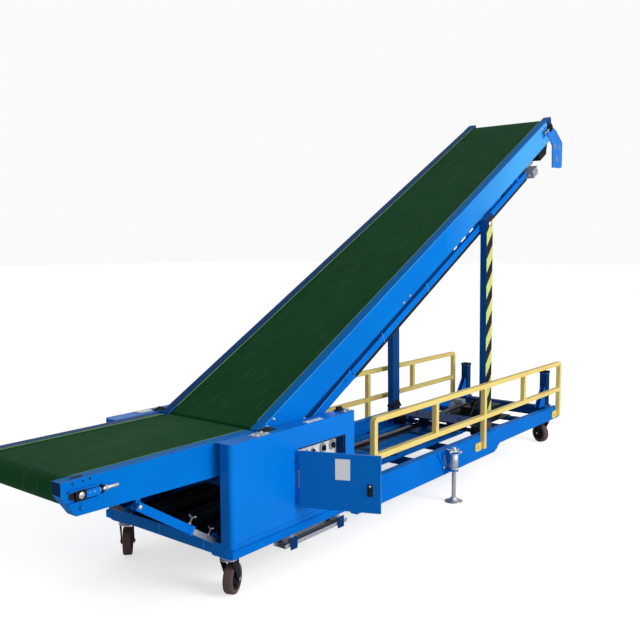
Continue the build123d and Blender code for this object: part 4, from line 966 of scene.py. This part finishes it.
def make_leg_trim():
    """Shoes, flares, discs and pin caps of the legs."""
    x = foot_axle[0]
    shoes = Shape()
    shoe = ((-30, 255), (30, 255), (47, 290), (47, 380), (40, 392), (-40, 392), (-47, 380), (-47, 290))
    shoes.wall(at, leg_outer + 0.2, moved(shoe, x), 3)
    shoes.wall(at, leg_inner - 0.2, moved(shoe, x), -3)
    shoes.done("leg_shoes", "lift_legs", dark_frame, bevel=1.0)
    flares = Shape()
    for side in both:
        low = [at(x + ahead, side * y, 394) for ahead, y in oblong(-56, 56, 356, 424)]
        top = [at(x + ahead, side * y, 448) for ahead, y in oblong(-33, 33, 369, 423)]
        flares.faces(low + top, [[3, 2, 1, 0], [4, 5, 6, 7]] + [
            [i, (i + 1) % 4, (i + 1) % 4 + 4, i + 4] for i in range(4)])
    flares.done("leg_flares", "lift_legs", black_paint, bevel=2.0)
    discs = Shape()
    discs.side_turned(at, leg_outer + 3.3, ((x, 345),),
                      ((0, 0), (38, 0), (40, 1), (40, 3), (20, 4), (0, 4)), 36)
    discs.done("leg_discs", "lift_legs", wheel_tread, bevel=0.5, rings=1)
    pins = Shape()
    pins.side_turned(at, leg_outer + 0.2, (foot_axle,), ((0, 3), (24, 3), (24, 6), (17, 10), (0, 10)), 28)
    pins.side_turned(on_incline, leg_outer + 0.2, (leg_top,), ((0, 0), (20, 0), (20, 4), (14, 9), (0, 9)), 28)
    pins.done("leg_pins", "lift_legs", bright_steel, bevel=0.5, rings=1)


def make_foot_carriage_trim():
    """The carriage's cross box with its cover, and the caps of the foot rollers."""
    x, z = foot_axle
    box = Shape()
    box.block(at(x, 0, 345), (30, 250, 12))
    for y in cylinder_spots:
        box.block(at(x, y, 336), (34, 28, 4))
    for y in (-235, 235):
        box.prism([at(x + ahead, y, height) for ahead, height in (
            (-26, 356), (26, 356), (20, 300), (10, 278), (-10, 278), (-20, 300))], along_y * 0.008)
    box.done("carriage_cross_box", "foot_carriage", dark_frame, bevel=1.5)
    cover = Shape()
    cover.lid(362, moved(((-120, -250), (-90, -270), (100, -270), (130, -250), (130, 250), (100, 270),
                          (-90, 270), (-120, 250)), x), 5)
    for y in (-180, 180):
        cover.block(at(x, y, 359.5), (24, 20, 2.6))
        cover.bolt(at(x, y, 367), along_z, 10)
    cover.done("carriage_cover", "foot_carriage", dark_frame, bevel=1.5)
    caps = Shape()
    for y in (-track_y, track_y):
        for out in both:
            caps.turned(at(x, y + out * 22.2, z), along_y * out,
                        ((0, 0), (34, 0), (34, 2), (26, 3), (22, 6), (16, 6)), 32)
    caps.done("foot_roller_caps", "foot_carriage", wheel_tread, bevel=0.4, rings=1)


def make_cylinder_trim():
    """Gland nuts, ports, clamp straps and pipes of the two cylinders."""
    height = foot_axle[1]
    glands = Shape()
    for y in cylinder_spots:
        glands.turned(at(barrel_end, y, height), along_x,
                      ((21, -26), (38, -26), (39, -24), (39, -4), (36, 0), (21, 0)), 36)
        glands.turned(at(15, y, height), along_x, ((21, 0), (38, 0), (39, 2), (39, 24), (35.5, 26)), 36)
        for x in (50, barrel_end - 60):
            glands.turned(at(x, y, 334), along_z, ((9, 0), (9, 8), (6, 10), (6, 14), (0, 14)), 16)
        for x in (70, 1025):
            for i in range(12):
                a, b = math.radians(15 * i), math.radians(15 * i + 15)
                glands.front(x, [(y + radius * math.cos(turn), height + radius * math.sin(turn))
                                 for radius, turn in ((35.3, a), (35.3, b), (38.3, b), (38.3, a))], 30)
    glands.done("cylinder_glands", "chassis", black_paint, bevel=0.6, rings=1)
    pipes = Shape()
    for y in cylinder_spots:
        pipes.pipe([at(x, y, z) for x, z in ((50, 346), (60, 352), (80, 354), (barrel_end - 80, 354),
                                             (barrel_end - 62, 350), (barrel_end - 60, 344))], 5)
        for x in (300, 700, 1060):
            pipes.block(at(x, y, 344), (10, 12, 11))
    pipes.done("cylinder_pipes", "chassis", black_rubber, bevel=0.5, rings=1)


def make_centre_beam():
    """The flat beam down the chassis with its joint straps, a bolted black pan that paints the shade beside
    it on the far side, and the hose tray.
    """
    low, top = 232, 256
    beam = Shape()
    for start, end in ((1049, 1876), (1880, 2796)):
        beam.front(start, ((-150, low), (-150, top - 6), (-144, top), (144, top), (150, top - 6), (150, low)),
                   end - start)
    beam.done("centre_beam", "chassis", blue_frame, bevel=1.2)
    straps = Shape()
    for x in (1240, 1878, 2480):
        straps.lid(top, oblong(x - 26, x + 26, -142, 142), 3)
        straps.bolts([at(*spot, top + 3) for spot in four_round(x, 0, 14, 62)], along_z, 7)
    straps.done("centre_beam_straps", "chassis", dark_frame, bevel=0.8)
    # Painted shade: a black pan filling the dark gap between the far rod and the far track
    cover = Shape()
    cover.lid(246, oblong(1052, 2792, 153, 284), 3)
    cover.bolts([at(x, y, 249) for x in range(1150, 2790, 400) for y in (166, 272)], along_z, 6)
    cover.done("far_shadow_pan", "chassis", black_paint, bevel=0.6, rings=1)
    tray = Shape()
    tray.lid(top + 6, oblong(2860, 3330, 120, 282), 4)
    for y in (124, 278):
        tray.block(at(3095, y, top + 16), (235, 2, 8))
    tray.done("hose_tray", "chassis", motor_grey, bevel=0.8)


def make_power_unit_trim():
    """The tank's lid, filler cap and valves, the pump motor's ribs and terminal box, and the hoses."""
    room = power_end - power_start
    middle = power_start + 0.44 * room
    lid = Shape()
    lid.block(at(middle, -70, 368), (0.16 * room + 6, 106, 4))
    lid.turned(at(middle + 60, -110, 372), along_z,
               ((0, 0), (24, 0), (24, 8), (20, 14), (12, 18), (0, 18)), 24)
    lid.block(at(middle - 60, -60, 392), (40, 30, 20))
    lid.block(at(middle - 60, -60, 424), (18, 18, 12))
    lid.done("tank_lid", "chassis", black_paint, bevel=1.5)
    ribs = Shape()
    profile = [(30, -1), (54, -1), (54, 8)] + cooling_ribs(8, 9, 52.3, 57)
    profile += [(55, 90), (56, 94), (56, 118), (50, 126), (0, 128)]
    ribs.turned(at(middle, 68, 316.6), along_y, profile, 36)
    ribs.block(at(middle, 118, 382.6), (34, 34, 14))
    ribs.done("pump_motor_ribs", "chassis", motor_grey, bevel=0.8)
    hoses = Shape()
    for spot, lift in zip(cylinder_spots, (0, 14)):
        hoses.pipe([at(*point) for point in (
            (middle - 60 + lift, -60, 412), (middle - 100, -60 + spot * 0.2, 418 - lift),
            (power_start + 60, spot * 1.2, 300), (power_start + 16, spot * 2.1, 262),
            (power_start - 14, spot * 2.3, 240), (2700, spot * 2.31, 236), (1062, spot * 2.31, 236),
            (1046, spot * 2.25, 252), (1040, spot * 1.9, 268))], 7)
    hoses.done("power_hoses", "chassis", black_rubber)


def door_point(along, out, z):
    """A point on the control door from its hinge line: along the leaf, out of its outer face, and up."""
    return at(*door_hinge, z) + door_leaf * along / 1000 + door_face * (9 + out) / 1000


def door_plate(shape, out, outline, thickness):
    """A plate on the door: outline lists (along, z), thickness counts outward."""
    shape.prism([door_point(along, out, z) for along, z in outline], door_face * thickness / 1000)
    return shape


def make_door_trim():
    """A bare label plate, the lock with its lever and barrel, the seal inside, and the hinge straps."""
    label = door_plate(Shape(), 0.1, oblong(192, 268, 512, 618), 1.2)
    label.done("door_label_plate", "control_door", panel_white, bevel=0.4, rings=1)
    lock = door_plate(Shape(), 0.1, oblong(354, 382, 440, 500), 5)
    lock.done("door_lock_plate", "control_door", black_paint, bevel=1.2)
    lever = door_plate(Shape(), 5.2, oblong(362, 374, 446, 484), 6)
    lever.done("door_lock_lever", "control_door", black_paint, bevel=1.5)
    barrel = Shape()
    barrel.turned(door_point(368, 5, 491), door_face, ((0, 0), (6, 0), (6, 3), (4.5, 4), (0, 4)), 20)
    barrel.block(door_point(368, 9.3, 491), (0.4, 0.8, 3), (door_face, door_leaf, along_z))
    barrel.done("door_lock_barrel", "control_door", bright_steel)
    seal = Shape()
    for edges in ((10, 416, 358, 364), (10, 416, 634, 640), (10, 16, 358, 640), (410, 416, 358, 640)):
        door_plate(seal, -18.1, oblong(*edges), -2.5)
    seal.done("door_seal", "control_door", black_rubber, bevel=0.6, rings=1)
    straps = Shape()
    for z in (405.8, 592.7):
        door_plate(straps, 0.1, [(along, z + rise) for along, rise in (
            (2, -15), (44, -15), (48, -10), (48, 10), (44, 15), (2, 15))], 2.5)
        straps.bolts([door_point(along, 2.6, z) for along in (20, 38)], door_face, 4, washer=False)
    straps.done("door_hinge_straps", "control_door", blue_sheet, bevel=0.5, rings=1)


def make_controls():
    """Switches and push buttons on the white panel, the opening's seal and liner, and an inner cover."""
    face, height = -412.3, 588
    panel = Shape()
    for x in (745, 825):
        panel.turned(at(x, face, height), -along_y, ((0, 0), (27, 0), (27, 3), (23, 7), (0, 7)), 32)
        panel.paint = 1
        panel.turned(at(x, face - 7, height), -along_y, ((0, 0), (16, 0), (14, 6), (0, 6)), 24)
        panel.block(at(x, -430, height), (4, 5, 14))
        panel.paint = 0
    for x, _, _ in buttons:
        panel.turned(at(x, face, height), -along_y, ((0, 0), (17, 0), (17, 4), (14, 7), (0, 7)), 28)
    panel.done("panel_switches", "chassis", motor_grey, black_paint, bevel=0.6, rings=1)
    for x, name, finish in buttons:
        button = Shape()
        button.turned(at(x, face - 7.2, height), -along_y, ((0, 0), (12, 0), (12, 5), (9, 8), (0, 8)), 24)
        button.done("panel_button_" + name, "chassis", finish, bevel=0.4, rings=1)
    seal = Shape()
    for edges in ((473, 869, 352.8, 358), (473, 869, 640.5, 645.7), (473, 478, 352.8, 645.7),
                  (864, 869, 352.8, 645.7)):
        seal.wall(at, 472.2, oblong(*edges), -6, right_only)
    seal.done("opening_seal", "chassis", black_rubber, bevel=0.8, rings=1)
    liner = Shape()
    for x in (478.5, 860.5):
        liner.front(x, oblong(-466, -416, 358, 640), 3)
    liner.done("opening_liner", "chassis", dark_frame, bevel=0.5, rings=1)
    cover = Shape()
    cover.block(at(671, -411, 470), (160, 1.5, 45))
    cover.bolts([at(x, -412.5, z) for x, z in four_round(671, 470, 150, 36)], -along_y, 5)
    cover.done("panel_inner_cover", "chassis", panel_white, bevel=1.0)


def make_tray_trim():
    """Grip ribs across the folded step tray, and its feet with their bolts."""
    ribs = Shape()
    for i in range(24):
        x = 358 + i * 20.4
        ribs.lid(175.2, oblong(x, x + 6, -490, -422), 3.5)
    ribs.done("step_tray_ribs", "chassis", bright_steel, bevel=0.6, rings=1)
    feet = Shape()
    for x in (405, 790):
        feet.block(at(x, -500, 187), (24, 3.5, 30))
        feet.bolt(at(x, -503.5, 196), -along_y, 6)
    feet.done("step_tray_feet", "chassis", dark_frame, bevel=0.8)


def make_post_trim():
    """Foot plates, caps, gussets and bolts of the rest posts."""
    x, y = rest_post
    plates, fixings = Shape(), Shape()
    for side in both:
        plates.block(at(x, side * y, 310.5), (46, 42, 4))
        plates.block(at(x, side * y, 588), (34, 34, 3))
        spots = four_round(x, side * y, 38.5, 34.5)
        fixings.bolts([at(*spot, 314.5) for spot in spots], along_z, 7, washer=False)
    for face in (y - 18, y + 18):
        plates.wall(at, face, moved(((-33, 315), (-33, 476), (-46, 476), (-150, 330), (-150, 315)), x), 5)
    plates.done("rest_post_plates", "chassis", blue_frame, bevel=1.0)
    fixings.done("rest_post_bolts", "chassis", bright_steel, bevel=0.3, rings=1)


casters = (
    # name, x, y, heading of the trail in degrees
    ("front_right", 62, -386, 24),
    ("front_left", 62, 386, 48),
    ("rear_right", 3768, -386, 66),
    ("rear_left", 3768, 386, 40),
)
door_leaf = Vector((math.cos(door_turn), math.sin(door_turn), 0))
door_face = Vector((math.sin(door_turn), -math.cos(door_turn), 0))
buttons = ((560, "start", device_green), (610, "stop", device_red), (660, "reverse", black_paint))
for caster in casters:
    make_caster(*caster)
make_caster_pads()
for name, side in sides:
    make_jack_screw(name, side)
make_jack_mounts()
make_rail_clamps()
make_housing_trim()
make_front_trim()
make_edge_strips("incline", on_incline, strip_height, 70, 3925, upright)
make_incline_trim()
make_return_idlers()
make_head()
make_drive()
make_coupling_trim()
make_infeed_trim()
make_edge_strips("infeed", at, knee[1] + strip_height, -719, 251, along_z)
make_struts()
make_leg_trim()
make_foot_carriage_trim()
make_cylinder_trim()
make_centre_beam()
make_power_unit_trim()
make_door_trim()
make_controls()
make_tray_trim()
make_post_trim()


def make_camera():
    """The photograph's camera: its yaw is from +X towards +Y, its pitch is downwards."""
    yaw, pitch, roll = (math.radians(angle) for angle in (camera_yaw, camera_pitch, camera_roll))
    ahead = Vector((math.cos(yaw) * math.cos(pitch), math.sin(yaw) * math.cos(pitch), -math.sin(pitch)))
    level = ahead.cross(along_z).normalized()
    above = level.cross(ahead)
    right = math.cos(roll) * level + math.sin(roll) * above
    up = math.cos(roll) * above - math.sin(roll) * level
    data = bpy.data.cameras.new("photo_camera")
    data.sensor_width = sensor_width
    data.lens = camera_lens
    data.clip_end = 100
    camera = bpy.data.objects.new("photo_camera", data)
    bpy.context.collection.objects.link(camera)
    camera.matrix_world = Matrix.Translation(camera_spot) @ Matrix((right, up, -ahead)).transposed().to_4x4()
    bpy.context.scene.camera = camera


def make_floor_and_light():
    """A pale floor under a white world, with soft lamps before and beside the machine."""
    mesh = bpy.data.meshes.new("floor")
    corners = oblong(-floor_reach, floor_reach, -floor_reach, floor_reach)
    mesh.from_pydata([(x, y, 0) for x, y in corners], [], [(0, 1, 2, 3)])
    floor = bpy.data.objects.new("floor", mesh)
    bpy.context.collection.objects.link(floor)
    material, wires, shader = new_material("floor_paint")
    clouds = wires.clouds(0.6)
    seen = wires.node("LightPath").outputs["Is Camera Ray"]
    wires.feed(shader, {
        "Base Color": wires.blend(clouds, shade(247, 247, 247), shade(244, 244, 244)), "Roughness": 0.9,
        "Specular IOR Level": 0.1, "Emission Color": wires.blend(seen, (0, 0, 0, 1), floor_lift),
        "Emission Strength": 1.0,
    })
    mesh.materials.append(material)
    world = bpy.data.worlds.new("studio")
    world.use_nodes = True
    sky = Wires(world.node_tree)
    path = sky.node("LightPath")
    seen = sky.sum("ADD", path.outputs["Is Camera Ray"], path.outputs["Is Glossy Ray"], clamp=True)
    background = world.node_tree.nodes["Background"]
    strength = sky.sum("MULTIPLY_ADD", seen, 1 - world_level, world_level)
    sky.feed(background, {"Color": shade(250, 250, 250), "Strength": strength})
    bpy.context.scene.world = world
    for name, spot, size, power in lamps:
        data = bpy.data.lights.new(name, "AREA")
        data.size = size
        data.energy = power
        lamp = bpy.data.objects.new(name, data)
        bpy.context.collection.objects.link(lamp)
        lamp.location = spot
        lamp.rotation_euler = (Vector(lamp_target) - Vector(spot)).to_track_quat("-Z", "Y").to_euler()


floor_reach = 60
floor_lift = (0.61, 0.605, 0.6, 1)
world_level = 0.42
lamp_target = (0, 0, 1)
lamps = (
    # name, place, size in metres, power in watts
    ("key_lamp", (0.5, -8, 3.6), 4, 430),
    ("fill_lamp", (-6, -2, 3), 4, 20),
)
make_camera()
make_floor_and_light()
bpy.context.scene.view_settings.view_transform = "Standard"
